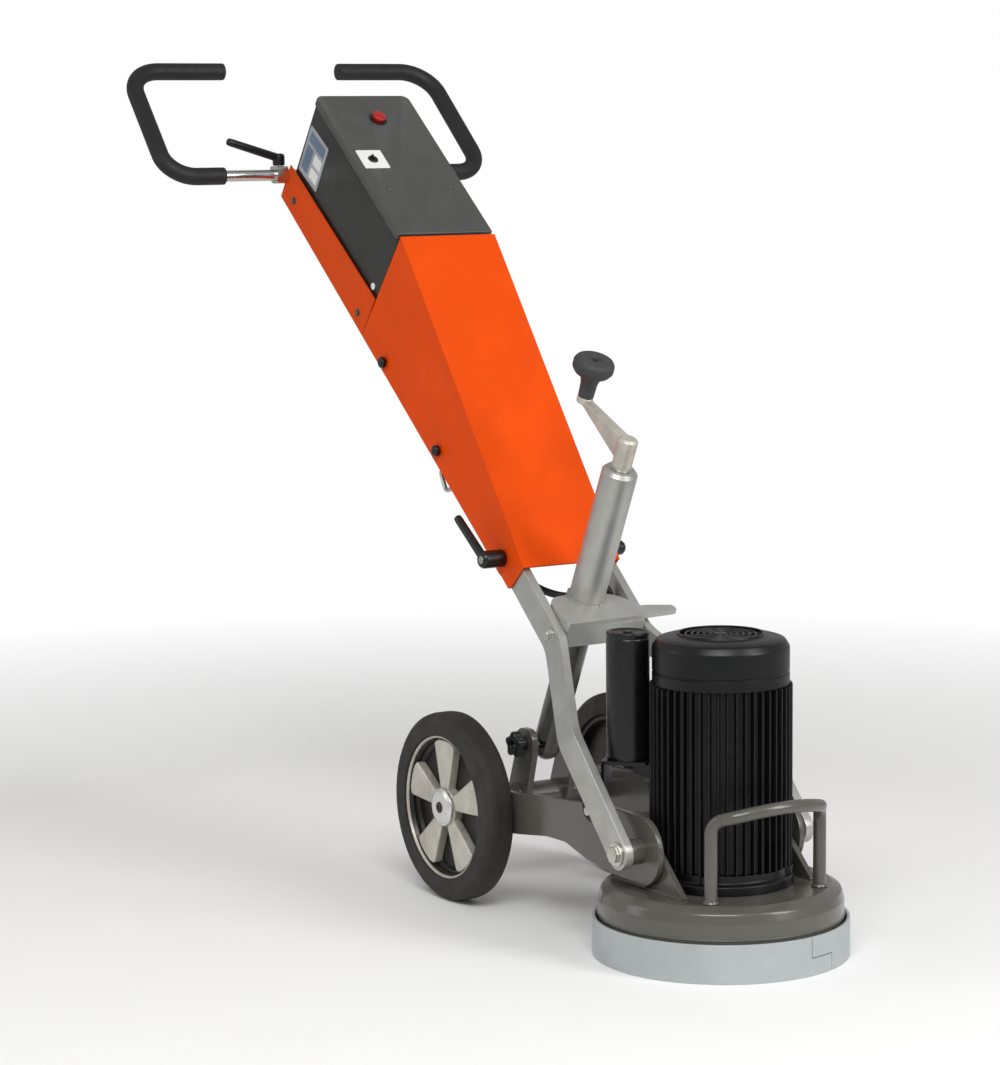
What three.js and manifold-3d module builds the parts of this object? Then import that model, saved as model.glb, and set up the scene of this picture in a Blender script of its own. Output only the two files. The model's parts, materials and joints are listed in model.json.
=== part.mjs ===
// Walk-behind single-disc floor grinder, millimetres.
// X points forward from the wheels to the grinding head, Y to the operator's left, Z up from the floor.
// Sizes are first worked out from the wheel axle, then everything is moved so that the
// origin lies under the middle of the machine.
import * as THREE from 'three';
import Module from 'manifold-3d';
import { mergeVertices } from 'three/addons/utils/BufferGeometryUtils.js';

const wasm = await Module();
wasm.setup();

// ---------------------------------------------------------------- driving dimensions
const GAP = 0.3;                       // left between pieces that touch
const WHEEL_R = 125;                   // solid rubber wheel, 250 mm
const WHEEL_W = 41;
const WHEEL_Y = 133.5;                 // centre of each tyre
const RIM_R = 95;
const AXLE_R = 10;
const HEAD_X = 420;                    // motor and disc axis
const COVER_R = 152;                   // pressed cover of the grinding head
const COVER_TOP = 90;
const SKIRT_R = 159.3;                 // floating dust skirt
const SKIRT_H = 48;
const DISC_R = 135;                    // 270 mm grinding disc
const MOTOR_R = 88;                    // over the cooling fins
const FIN_COUNT = 48;
const FIN_LOW = 114;
const FIN_HIGH = 338;
const FAN_COVER_R = 84.5;
const PIVOT = [402, 137];              // wheel chassis swings here on the head
const ARM_Y = 60;                      // inner faces of the mast arms at the top
const ARM_LOW_Y = 130;                 // and at the bottom
const ARM_T = 12;
const ARM_W = 40;
const RAIL_Y = 102;                    // inner faces of the chassis rails
const RAIL_T = 8;
const LUG_Y = 92;
const HINGE = [36, 455];               // mast folds here on the arms
const MAST_W = 150;
const LID_HALF = 76;
const SHEET = 3;
const JACK_FOOT = [11, 173];           // low end of the jack's axis
const JACK_DIR = [0.4214, 0.9069];     // it leans forward at the top
const JACK_PIN = 32;                   // distances along the jack from its foot
const PLATE_S = 252;
const JACK_TOP = 451;
const CRANK_TOP = 496;
const CRANK_REACH = 110;
const BAR = [-558.4, 948.7];           // handlebar's tilt axis
const HANDLE_RISE = 213;               // lower bar to upper bar, in a plane leaning back 45 degrees
const HANDLE_HALF = 257;
const GRIP_R = 13;
const TUBE_R = 8;
const GRIP_END_Y = 97;
const GRIP_LOW_Y = 174;                // end of the foam on the lower bar
const CENTRE_X = (HEAD_X + SKIRT_R + BAR[0] - HANDLE_RISE * Math.SQRT1_2 - GRIP_R) / 2;

const model = new THREE.Group();

// ---------------------------------------------------------------- finishes
const finish = (color, roughness, metalness) => new THREE.MeshStandardMaterial({ color, roughness, metalness });
const orange = () => finish(0xe85508, 0.45, 0);
const silver = () => finish(0x9c9b95, 0.4, 0.7);
const steel = () => finish(0xb9bcbe, 0.3, 1);
const olive = () => finish(0x45463f, 0.35, 0.1);
const black = () => finish(0x15161a, 0.4, 0);
const rubber = () => finish(0x232323, 0.8, 0);
const plastic = () => finish(0x1c1c1e, 0.5, 0);
const castAluminium = () => finish(0xa9a59e, 0.4, 0.9);

// ---------------------------------------------------------------- solids
function toSolid(geometry) {
  const bare = geometry.clone();
  bare.deleteAttribute('normal');
  bare.deleteAttribute('uv');
  const merged = mergeVertices(bare, 1e-4);
  const index = Array.from(merged.index.array);
  const place = merged.attributes.position;
  const corner = (i) => new THREE.Vector3().fromBufferAttribute(place, i);
  let volume = 0;
  for (let i = 0; i < index.length; i += 3) {
    const [a, b, c] = [index[i], index[i + 1], index[i + 2]].map(corner);
    volume += a.dot(b.cross(c));
  }
  if (volume < 0) index.reverse();
  return new wasm.Manifold(new wasm.Mesh({
    numProp: 3,
    vertProperties: new Float32Array(place.array),
    triVerts: new Uint32Array(index),
  }));
}

function toGeometry(solid) {
  const mesh = solid.getMesh();
  const geometry = new THREE.BufferGeometry();
  geometry.setAttribute('position', new THREE.BufferAttribute(new Float32Array(mesh.vertProperties), 3));
  geometry.setIndex(new THREE.BufferAttribute(new Uint32Array(mesh.triVerts), 1));
  return geometry;
}

function join(...pieces) {
  return toGeometry(pieces.map(toSolid).reduce((sum, piece) => sum.add(piece)));
}

function cut(body, ...tools) {
  return toGeometry(tools.map(toSolid).reduce((rest, tool) => rest.subtract(tool), toSolid(body)));
}

function part(name, geometry, material) {
  const mesh = new THREE.Mesh(toGeometry(toSolid(geometry)), material);
  mesh.name = name;
  mesh.position.x = -CENTRE_X;
  model.add(mesh);
}

// ---------------------------------------------------------------- outlines and shapes
// Corners are [a, b] or [a, b, radius]; a corner with a radius becomes an arc.
function rounded(corners) {
  const points = [];
  corners.forEach(([a, b, radius = 0], i) => {
    const at = new THREE.Vector2(a, b);
    if (!radius) {
      points.push(at);
      return;
    }
    const before = corners[(i + corners.length - 1) % corners.length];
    const after = corners[(i + 1) % corners.length];
    const u = new THREE.Vector2(before[0] - a, before[1] - b).normalize();
    const v = new THREE.Vector2(after[0] - a, after[1] - b).normalize();
    const half = Math.acos(THREE.MathUtils.clamp(u.dot(v), -1, 1)) / 2;
    const start = at.clone().addScaledVector(u, radius / Math.tan(half));
    const end = at.clone().addScaledVector(v, radius / Math.tan(half));
    const centre = at.clone().addScaledVector(u.add(v).normalize(), radius / Math.sin(half));
    const from = start.sub(centre).angle();
    let turn = end.sub(centre).angle() - from;
    if (turn > Math.PI) turn -= 2 * Math.PI;
    if (turn < -Math.PI) turn += 2 * Math.PI;
    const steps = Math.max(2, Math.ceil(Math.abs(turn) / 0.5));
    for (let k = 0; k <= steps; k += 1) {
      const angle = from + turn * k / steps;
      points.push(new THREE.Vector2(centre.x + radius * Math.cos(angle), centre.y + radius * Math.sin(angle)));
    }
  });
  return points;
}

function circle(a, b, radius, sides = 20) {
  return Array.from({ length: sides }, (_, k) => {
    const angle = 2 * Math.PI * k / sides;
    return new THREE.Vector2(a + radius * Math.cos(angle), b + radius * Math.sin(angle));
  });
}

function slab(points, depth, holes = []) {
  const shape = new THREE.Shape(points);
  holes.forEach((hole) => shape.holes.push(new THREE.Path(hole)));
  return new THREE.ExtrudeGeometry(shape, { depth, bevelEnabled: false });
}

// An (x, z) outline between two values of y, and an (x, y) outline between two values of z.
const slabY = (points, low, high, holes) => slab(points, high - low, holes).rotateX(Math.PI / 2).translate(0, high, 0);
const slabZ = (points, low, high, holes) => slab(points, high - low, holes).translate(0, 0, low);

function box(x0, x1, y0, y1, z0, z1) {
  return new THREE.BoxGeometry(x1 - x0, y1 - y0, z1 - z0).translate((x0 + x1) / 2, (y0 + y1) / 2, (z0 + z1) / 2);
}

function rod(from, to, radius, sides = 16, farRadius = radius) {
  const start = new THREE.Vector3(...from);
  const along = new THREE.Vector3(...to).sub(start);
  const turn = new THREE.Quaternion().setFromUnitVectors(new THREE.Vector3(0, 1, 0), along.clone().normalize());
  const middle = start.addScaledVector(along, 0.5);
  return new THREE.CylinderGeometry(farRadius, radius, along.length(), sides)
    .applyQuaternion(turn).translate(middle.x, middle.y, middle.z);
}

// A profile of [radius, distance] turned about an axis that starts at "origin".
function turned(profile, origin, axis, sides = 32) {
  const turn = new THREE.Quaternion().setFromUnitVectors(new THREE.Vector3(0, 1, 0), new THREE.Vector3(...axis));
  return new THREE.LatheGeometry(profile.map(([r, d]) => new THREE.Vector2(r, d)), sides)
    .applyQuaternion(turn).translate(...origin);
}

const ringProfile = (inner, outer, low, high) => [[inner, low], [outer, low], [outer, high], [inner, high], [inner, low]];

// A round bar through chosen points.
class Route extends THREE.Curve {
  constructor(points) {
    super();
    this.points = points;
  }

  getPoint(t) {
    const place = Math.min(t, 1) * (this.points.length - 1);
    const i = Math.min(Math.floor(place), this.points.length - 2);
    return this.points[i].clone().lerp(this.points[i + 1], place - i);
  }

  getPointAt(u) {
    return this.getPoint(u);
  }

  getTangentAt(u) {
    const i = Math.round(u * (this.points.length - 1));
    const before = this.points[Math.max(i - 1, 0)];
    const after = this.points[Math.min(i + 1, this.points.length - 1)];
    return after.clone().sub(before).normalize();
  }
}

function bent(points, radius, sides = 10) {
  const section = new THREE.Shape(circle(0, 0, radius, sides));
  return new THREE.ExtrudeGeometry(section, {
    steps: points.length - 1,
    extrudePath: new Route(points),
  });
}

// Straight runs joined by arcs: corners are [x, y, z, bend radius], or [x, y, z] for a plain point.
function bends(corners, arcSteps = 5) {
  const at = corners.map(([x, y, z]) => new THREE.Vector3(x, y, z));
  const points = [at[0]];
  for (let i = 1; i < at.length - 1; i += 1) {
    const u = at[i - 1].clone().sub(at[i]).normalize();
    const v = at[i + 1].clone().sub(at[i]).normalize();
    const half = u.angleTo(v) / 2;
    const radius = corners[i][3];
    if (!radius) {
      points.push(at[i]);
      continue;
    }
    const reach = radius / Math.tan(half);
    const centre = at[i].clone().addScaledVector(u.clone().add(v).normalize(), radius / Math.sin(half));
    const from = at[i].clone().addScaledVector(u, reach).sub(centre);
    const to = at[i].clone().addScaledVector(v, reach).sub(centre);
    const sweep = from.angleTo(to);
    for (let k = 0; k <= arcSteps; k += 1) {
      const t = sweep * k / arcSteps;
      const spoke = from.clone().multiplyScalar(Math.sin(sweep - t)).addScaledVector(to, Math.sin(t));
      points.push(centre.clone().addScaledVector(spoke, 1 / Math.sin(sweep)));
    }
  }
  points.push(at[at.length - 1]);
  return points;
}

// The jack's own frame: s along its axis, q across it towards the front.
const jackX = (s, q = 0) => JACK_FOOT[0] + s * JACK_DIR[0] + q * JACK_DIR[1];
const jackZ = (s, q = 0) => JACK_FOOT[1] + s * JACK_DIR[1] - q * JACK_DIR[0];
const jackPoint = (s, q = 0, y = 0) => [jackX(s, q), y, jackZ(s, q)];
const JACK_AXIS = [JACK_DIR[0], 0, JACK_DIR[1]];

function jackBox(s0, s1, q0, q1, y0, y1) {
  const lean = Math.atan2(JACK_DIR[0], JACK_DIR[1]);
  return box(q0, q1, y0, y1, s0, s1).rotateY(lean).translate(JACK_FOOT[0], 0, JACK_FOOT[1]);
}

const sides = [['right', -1], ['left', 1]];
const across = (side, low, high) => (side < 0 ? [-high, -low] : [low, high]);

// ---------------------------------------------------------------- wheels
function wheels() {
  const half = WHEEL_W / 2;
  const tyre = [
    [RIM_R + GAP, -half], [118, -half], [123.5, -half + 5], [WHEEL_R, -half + 12],
    [WHEEL_R, half - 12], [123.5, half - 5], [118, half], [RIM_R + GAP, half], [RIM_R + GAP, -half],
  ];
  sides.forEach(([word, side]) => {
    const centre = [0, side * WHEEL_Y, WHEEL_R];
    const out = [0, side, 0];
    part(`tyre_${word}`, turned(tyre, centre, out, 32), rubber());
    const barrel = turned(ringProfile(86, RIM_R, -17, 18), centre, out, 32);
    const web = turned(ringProfile(AXLE_R + GAP, 88, -4, 1), centre, out, 16);
    const hub = turned(ringProfile(AXLE_R + GAP, 26, -19, 16), centre, out, 16);
    const spokes = Array.from({ length: 5 }, (_, k) => {
      const spoke = slab(rounded([[20, -7], [88, -26], [88, 26], [20, 7]]), 15);
      const turn = Math.PI / 2 + 2 * Math.PI * k / 5;
      spoke.rotateZ(turn).rotateX(side < 0 ? Math.PI / 2 : -Math.PI / 2);
      return spoke.translate(centre[0], centre[1], centre[2]);
    });
    part(`rim_${word}`, join(barrel, web, hub, ...spokes), castAluminium());
  });
}

const axleRod = (radius) => rod([0, -WHEEL_Y - 20, WHEEL_R], [0, WHEEL_Y + 20, WHEEL_R], radius, 16);
const HUB_CAP = [[0, 16 + GAP], [25.5, 16 + GAP], [25.5, 20], [22, 23.5], [0, 23.5]];

// ---------------------------------------------------------------- wheel chassis
const STOP_PIN = [294, 168];

function chassis() {
  const caps = sides.map(([, s]) => turned(HUB_CAP, [0, s * WHEEL_Y, WHEEL_R], [0, s, 0], 20));
  part('axle', join(axleRod(AXLE_R), ...caps), steel());
  part('axle_beam', axleBeam(), olive());
  const side = rounded([
    [-26, 99, 24], [60, 99, 60], [123, 106], [190, 116, 60], [236, 117, 40], [285, 104, 30], [350, 97],
    ...circle(...PIVOT, 44, 24).slice(18).map((p) => [p.x, p.y]),
    ...circle(...PIVOT, 44, 24).slice(0, 8).map((p) => [p.x, p.y]),
    [340, 181], [283, 176, 10], [119, 160], [-26, 152, 24],
  ]);
  sides.forEach(([word, s]) => {
    const plate = slabY(side, ...across(s, RAIL_Y, RAIL_Y + RAIL_T));
    const flange = slabY(rounded([[128, 152.9], [119, 152.2], [60, 147], [60, 153], [119, 160], [270, 175], [270, 167.5]]),
      ...across(s, RAIL_Y - 12, RAIL_Y + 1));
    const boss = slabY(circle(...PIVOT, 16, 20), ...across(s, RAIL_Y + RAIL_T - 1, ARM_LOW_Y - GAP));
    const holes = [
      rod([PIVOT[0], -160, PIVOT[1]], [PIVOT[0], 160, PIVOT[1]], 8 + GAP),
      rod([STOP_PIN[0], -120, STOP_PIN[1] + 3], [STOP_PIN[0], 120, STOP_PIN[1] + 3], 17, 20),
      axleRod(AXLE_R + GAP),
    ];
    part(`chassis_rail_${word}`, cut(join(plate, flange, boss), ...holes), olive());
    const head = rod([PIVOT[0], s * (ARM_LOW_Y + ARM_T + GAP), PIVOT[1]], [PIVOT[0], s * 151, PIVOT[1]], 13, 6);
    const shank = rod([PIVOT[0], s * 90.5, PIVOT[1]], [PIVOT[0], s * 143, PIVOT[1]], 8);
    part(`pivot_bolt_${word}`, join(head, shank), steel());
  });
  part('rail_cross_plate', box(176, 250, -RAIL_Y + GAP, RAIL_Y - GAP, 120, 126), olive());
  const pin = (y0, y1, r) => rod([jackX(JACK_PIN), y0, jackZ(JACK_PIN)], [jackX(JACK_PIN), y1, jackZ(JACK_PIN)], r);
  part('jack_pin', join(pin(-52, 46, 6), pin(38 + GAP, 44, 9)), steel());
  const lobes = Array.from({ length: 30 }, (_, k) => {
    const angle = 2 * Math.PI * k / 30;
    const r = 15.5 + 2.5 * Math.cos(5 * angle);
    return new THREE.Vector2(jackX(JACK_PIN) + r * Math.sin(angle), jackZ(JACK_PIN) + r * Math.cos(angle));
  });
  part('lock_knob', cut(slabY(lobes, -58, -38.5 - GAP), pin(-53, -30, 6 + GAP)), plastic());
}

// The tube between the rails, with the two lugs that hold the foot of the jack.
function axleBeam() {
  const [x, z] = [jackX(JACK_PIN), jackZ(JACK_PIN)];
  const tube = rod([0, -RAIL_Y + GAP, WHEEL_R], [0, RAIL_Y - GAP, WHEEL_R], 18);
  const lug = rounded([[-24, 122], [24, 122], [x + 20, z - 10], [x + 20, z + 20, 16], [x - 20, z + 20, 16], [x - 22, z - 10]]);
  const lugs = sides.map(([, s]) => slabY(lug, ...across(s, 28, 38)));
  return cut(join(tube, ...lugs), axleRod(AXLE_R + GAP), rod([x, -60, z], [x, 60, z], 6 + GAP));
}

// ---------------------------------------------------------------- grinding head
function head() {
  const centre = [HEAD_X, 0, 0];
  const up = [0, 0, 1];
  const cover = [
    [COVER_R - 4, 30], [COVER_R, 30], [COVER_R, 72], [149, 81], [142, 87], [132, COVER_TOP],
    [30, COVER_TOP], [30, COVER_TOP - 4], [131, COVER_TOP - 4], [144, 79], [COVER_R - 4, 71], [COVER_R - 4, 30],
  ];
  part('skirt_band', turned(ringProfile(SKIRT_R - 4, SKIRT_R, 0, SKIRT_H), centre, up, 40), finish(0xa9abad, 0.55, 0));
  const low = COVER_TOP + GAP;
  const outline = rounded([
    [332, COVER_TOP - 1], [484, COVER_TOP - 1], [416, 152, 12], [396, 163, 12], [372, 165, 20], [325, 171], [300, 178, 6],
    [284, 178, 6], [284, 154, 6], [318, 146, 20],
  ]);
  const holes = [circle(...PIVOT, 8 + GAP, 16)];
  const lugs = sides.map(([, s]) => slabY(outline, ...across(s, LUG_Y, LUG_Y + 8), holes));
  const pins = sides.map(([, s]) => rod([STOP_PIN[0], s * 96, STOP_PIN[1]], [STOP_PIN[0], s * 116, STOP_PIN[1]], 6));
  part('head_cover', join(turned(cover, centre, up, 32), ...lugs, ...pins), olive());
  const leg = THREE.MathUtils.degToRad(41);
  const legAt = (s, r, z) => [HEAD_X + r * Math.cos(leg), s * r * Math.sin(leg), z];
  const over = Array.from({ length: 7 }, (_, k) => {
    const angle = leg * (k - 3) / 4.2;
    return [HEAD_X + 133 * Math.cos(angle), 133 * Math.sin(angle), 190 + 15 * Math.cos(angle / leg * Math.PI / 2)];
  });
  const route = bends([legAt(-1, 124, low), [...legAt(-1, 124, 189), 20], ...over, [...legAt(1, 124, 189), 20],
    legAt(1, 124, low)], 4);
  part('carry_handle', bent(route, 8), olive());
}

// ---------------------------------------------------------------- motor
function motor() {
  const centre = [HEAD_X, 0, 0];
  const up = [0, 0, 1];
  const low = COVER_TOP + GAP;
  const flange = [
    [13, low], [90, low], [90, 101], [86, 104], [86, FIN_LOW - GAP], [13, FIN_LOW - GAP], [13, low],
  ];
  part('motor_flange', turned(flange, centre, up, 28), black());
  const fins = [];
  for (let k = 0; k < FIN_COUNT; k += 1) {
    const step = 2 * Math.PI / FIN_COUNT;
    [[79, -0.24], [MOTOR_R, -0.15], [MOTOR_R, 0.15], [79, 0.24]].forEach(([r, share]) => {
      const angle = (k + share) * step;
      fins.push(new THREE.Vector2(HEAD_X + r * Math.cos(angle), r * Math.sin(angle)));
    });
  }
  part('motor_housing', slabZ(fins, FIN_LOW, FIN_HIGH, [circle(HEAD_X, 0, 75, 24)]), black());
  part('stator', turned(ringProfile(47, 73, 150, 290), centre, up, 24), steel());
  const shield = [[13, FIN_HIGH + GAP], [80, FIN_HIGH + GAP], [80, 344], [30, 347], [13, 347], [13, FIN_HIGH + GAP]];
  part('motor_top_shield', turned(shield, centre, up, 24), black());
  const hood = [
    [81.5, FIN_HIGH + GAP], [FAN_COVER_R, FIN_HIGH + GAP], [FAN_COVER_R, 384], [82, 391], [76, 394.5], [53, 398],
    [52, 400.5], [0, 400.5], [0, 397.5], [50, 397.5], [52, 395], [76, 391], [81.5, 383], [81.5, FIN_HIGH + GAP],
  ];
  const slots = Array.from({ length: 8 }, (_, k) => {
    const slot = slabZ(rounded([[16, -3.5], [45, -13], [45, 13], [16, 3.5]]), 396, 402);
    return slot.rotateZ(2 * Math.PI * (k + 0.5) / 8).translate(HEAD_X, 0, 0);
  });
  part('fan_cover', cut(turned(hood, centre, up, 24), ...slots), black());
  const blades = [];
  for (let k = 0; k < 6; k += 1) {
    const angle = 2 * Math.PI * k / 6;
    [[22, -0.16], [70, -0.04], [70, 0.04], [22, 0.16]].forEach(([r, spread]) => {
      blades.push(new THREE.Vector2(HEAD_X + r * Math.cos(angle + spread), r * Math.sin(angle + spread)));
    });
  }
  part('cooling_fan', slabZ(blades, 352, 374, [circle(HEAD_X, 0, 12 + GAP, 16)]), plastic());
  const shaft = [[0, 20], [12, 20], [12, 150], [45, 150], [45, 290], [12, 290], [12, 384], [0, 384]];
  part('rotor_shaft', turned(shaft, centre, up, 20), steel());
  part('tool_plate', turned([[12 + GAP, 15], [DISC_R, 15], [DISC_R, 23], [34, 23], [34, 34], [12 + GAP, 34], [12 + GAP, 15]],
    centre, up, 32), steel());
  for (let k = 0; k < 3; k += 1) {
    const shoe = box(78, 128, -20, 20, 0, 15 - GAP).rotateZ(2 * Math.PI * k / 3 + 0.5).translate(HEAD_X, 0, 0);
    part(`diamond_shoe_${k + 1}`, shoe, finish(0x5b5750, 0.7, 0.4));
  }
  capacitor();
  part('terminal_box', box(286, 330.5, -42, 42, 205, 290), black());
}

function capacitor() {
  const at = [335, -80];
  const can = [[0, 238], [26, 238], [27, 240], [27, 394], [24, 398], [0, 398]];
  part('capacitor_case', turned(can, [...at, 0], [0, 0, 1], 24), black());
  const shelf = slabZ(rounded([[-30, -24, 6], [27.5, -24], [27.5, 24], [-30, 24, 6]]), 233, 237.7);
  const foot = box(-30, -26, -20, 20, 205, 234);
  const turn = Math.atan2(-at[1], HEAD_X - at[0]);
  part('capacitor_bracket', join(shelf, foot).rotateZ(turn).translate(...at, 0), finish(0x8c8c86, 0.5, 0.4));
}

// ---------------------------------------------------------------- arms between mast and head
// Each station is a bar's two edges in side view and the y of its inner face.
function ribbon(stations, side) {
  const low = [];
  const high = [];
  stations.forEach(([a, b, y]) => {
    low.push([a, y], [b, y]);
    high.push([a, y + ARM_T], [b, y + ARM_T]);
  });
  const place = ([[x, z], y]) => new THREE.Vector3(x, side * y, z);
  const vertices = [...low, ...high].map(place);
  const n = stations.length;
  const faces = [];
  const quad = (p, q, r, s) => faces.push(p, q, r, p, r, s);
  for (let i = 0; i < n - 1; i += 1) {
    const [a, b, c, d] = [2 * i, 2 * i + 1, 2 * i + 2, 2 * i + 3];
    quad(a, c, d, b);
    quad(a + 2 * n, b + 2 * n, d + 2 * n, c + 2 * n);
    quad(a, a + 2 * n, c + 2 * n, c);
    quad(b, d, d + 2 * n, b + 2 * n);
  }
  quad(0, 1, 1 + 2 * n, 2 * n);
  quad(2 * n - 2, 4 * n - 2, 4 * n - 1, 2 * n - 1);
  const geometry = new THREE.BufferGeometry().setFromPoints(vertices);
  geometry.setIndex(faces);
  return geometry;
}

function roundEnd(centre, toward, y, count = 5) {
  const [dx, dz] = [toward[0] - centre[0], toward[1] - centre[1]];
  const size = Math.hypot(dx, dz);
  const [ux, uz] = [dx / size, dz / size];
  return Array.from({ length: count }, (_, k) => {
    const angle = 0.2 + (Math.PI / 2 - 0.2) * k / (count - 1);
    const back = -ARM_W / 2 * Math.cos(angle);
    const half = ARM_W / 2 * Math.sin(angle);
    const [x, z] = [centre[0] + ux * back, centre[1] + uz * back];
    return [[x + uz * half, z - ux * half], [x - uz * half, z + ux * half], y];
  });
}

const TIE_BOLT = [143, 367];
const KNEE = [[131, 345], [165, 369]];
const BEND = [[270, 250], [302, 275]];
const middle = ([p, q]) => [(p[0] + q[0]) / 2, (p[1] + q[1]) / 2];

function arms() {
  const topEnd = roundEnd(HINGE, middle(KNEE), ARM_Y);
  const lowEnd = roundEnd(PIVOT, middle(BEND), ARM_LOW_Y).map(([a, b, y]) => [b, a, y]).reverse();
  const stations = [...topEnd, [...KNEE, ARM_Y], [...BEND, ARM_LOW_Y], ...lowEnd];
  sides.forEach(([word, side]) => {
    const holes = [[HINGE, 6], [PIVOT, 8], [TIE_BOLT, 6]].map(([[x, z], r]) => rod([x, -160, z], [x, 160, z], r + GAP));
    part(`arm_${word}`, cut(ribbon(stations, side), ...holes), silver());
  });
  const [x, z] = TIE_BOLT;
  const heads = sides.map(([, s]) => rod([x, s * (ARM_Y + ARM_T + GAP), z], [x, s * 80, z], 10, 6));
  part('tie_bolt', join(rod([x, -74, z], [x, 74, z], 6), ...heads), steel());
  const inner = ARM_Y - GAP;
  const bar = jackBox(222, PLATE_S - GAP, 20.5, 56.5, -inner, inner);
  part('cross_tube', cut(bar, rod([x, -70, z], [x, 70, z], 6 + GAP)), silver());
}

// ---------------------------------------------------------------- height jack
function jack() {
  const lean = Math.atan2(JACK_DIR[0], JACK_DIR[1]);
  const inner = ARM_Y - GAP;
  const outline = rounded([[-8, -inner, 24], [57, -inner, 4], [54, 40, 80], [50, 113, 5], [37, 113, 5], [31, 76, 8],
    [30, inner], [20, inner, 4], [2, 44, 20], [-7, 26, 6], [-25, 14, 6], [-25, -14, 6], [-9, -27, 6]]);
  const plate = slabZ(outline, PLATE_S, PLATE_S + 6, [circle(0, 0, 19 + 1, 24)]);
  part('jack_plate', plate.rotateY(lean).translate(JACK_FOOT[0], 0, JACK_FOOT[1]), silver());
  const origin = jackPoint(0);
  const sleeve = [[20, PLATE_S + 6 + GAP], [23.5, PLATE_S + 6 + GAP], [23.5, JACK_TOP - 5], [19, JACK_TOP],
    [9, JACK_TOP], [9, JACK_TOP - 8], [20, JACK_TOP - 8], [20, PLATE_S + 6 + GAP]];
  part('jack_outer_tube', turned(sleeve, origin, JACK_AXIS, 24), silver());
  const tube = [[0, 6], [11, 8.5], [17, 15], [19, 24], [19, 392], [9, 392], [9, 110], [0, 110]];
  const slot = jackBox(JACK_PIN - 7.5, JACK_PIN + 7.5, -13.5, 13.5, -30, 30);
  part('jack_inner_tube', cut(turned(tube, origin, JACK_AXIS, 20), slot), olive());
  part('crank_screw', turned([[0, 140], [8, 140], [8, CRANK_TOP - 12], [0, CRANK_TOP - 12]], origin, JACK_AXIS, 14), steel());
  const hub = turned([[0, JACK_TOP + GAP], [12, JACK_TOP + GAP], [13, JACK_TOP + 5], [13, CRANK_TOP - 2],
    [11, CRANK_TOP], [0, CRANK_TOP]], origin, JACK_AXIS, 16);
  const screwEnd = rod(jackPoint(JACK_TOP - 5), jackPoint(CRANK_TOP - 11), 8 + GAP, 16);
  const webCorners = [[CRANK_TOP - 1.5, 6], [CRANK_TOP - 1.5, -CRANK_REACH - 7], [CRANK_TOP - 8, -CRANK_REACH - 7],
    [CRANK_TOP - 11, -CRANK_REACH + 10], [JACK_TOP + 10, -8], [JACK_TOP + 10, 6]];
  const arm = slabY(webCorners.map(([s, q]) => new THREE.Vector2(jackX(s, q), jackZ(s, q))), -7.5, 7.5);
  const pad = rod(jackPoint(CRANK_TOP - 9, -CRANK_REACH), jackPoint(CRANK_TOP, -CRANK_REACH), 11, 16);
  const spindle = rod(jackPoint(CRANK_TOP - 2, -CRANK_REACH), jackPoint(CRANK_TOP + 50, -CRANK_REACH), 4, 12);
  part('crank_arm', cut(join(hub, arm, pad, spindle), screwEnd), castAluminium());
  const base = CRANK_TOP + GAP;
  const knob = [[4 + GAP, base], [10.5, base], [11.5, base + 20], [14, base + 28], [24, base + 35], [27.5, base + 41],
    [27.5, base + 49], [25, base + 54], [4 + GAP, base + 55], [4 + GAP, base]];
  part('crank_knob', turned(knob, jackPoint(0, -CRANK_REACH), JACK_AXIS, 20), plastic());
}

// ---------------------------------------------------------------- mast
// Side-view corners of the folded sheet parts.
const TRAY_LOW = [-572, 918];
const TRAY_TOP = [-541, 963];
const JOINT_LOW = [-336, 727];
const JOINT_MID = [-298, 779];
const SPLIT_TOP = [-224, 868];
const FRONT_LOW = [85.6, 448];
const BACK_END = [-18, 469];

function unit(p, q) {
  const size = Math.hypot(q[0] - p[0], q[1] - p[1]);
  return [(q[0] - p[0]) / size, (q[1] - p[1]) / size];
}

// A point moved along the line p-q and then square to it, towards the inside of the mast.
function shift(p, q, along, inward) {
  const [ux, uz] = unit(p, q);
  return [p[0] + ux * along - uz * inward, p[1] + uz * along + ux * inward];
}

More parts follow.
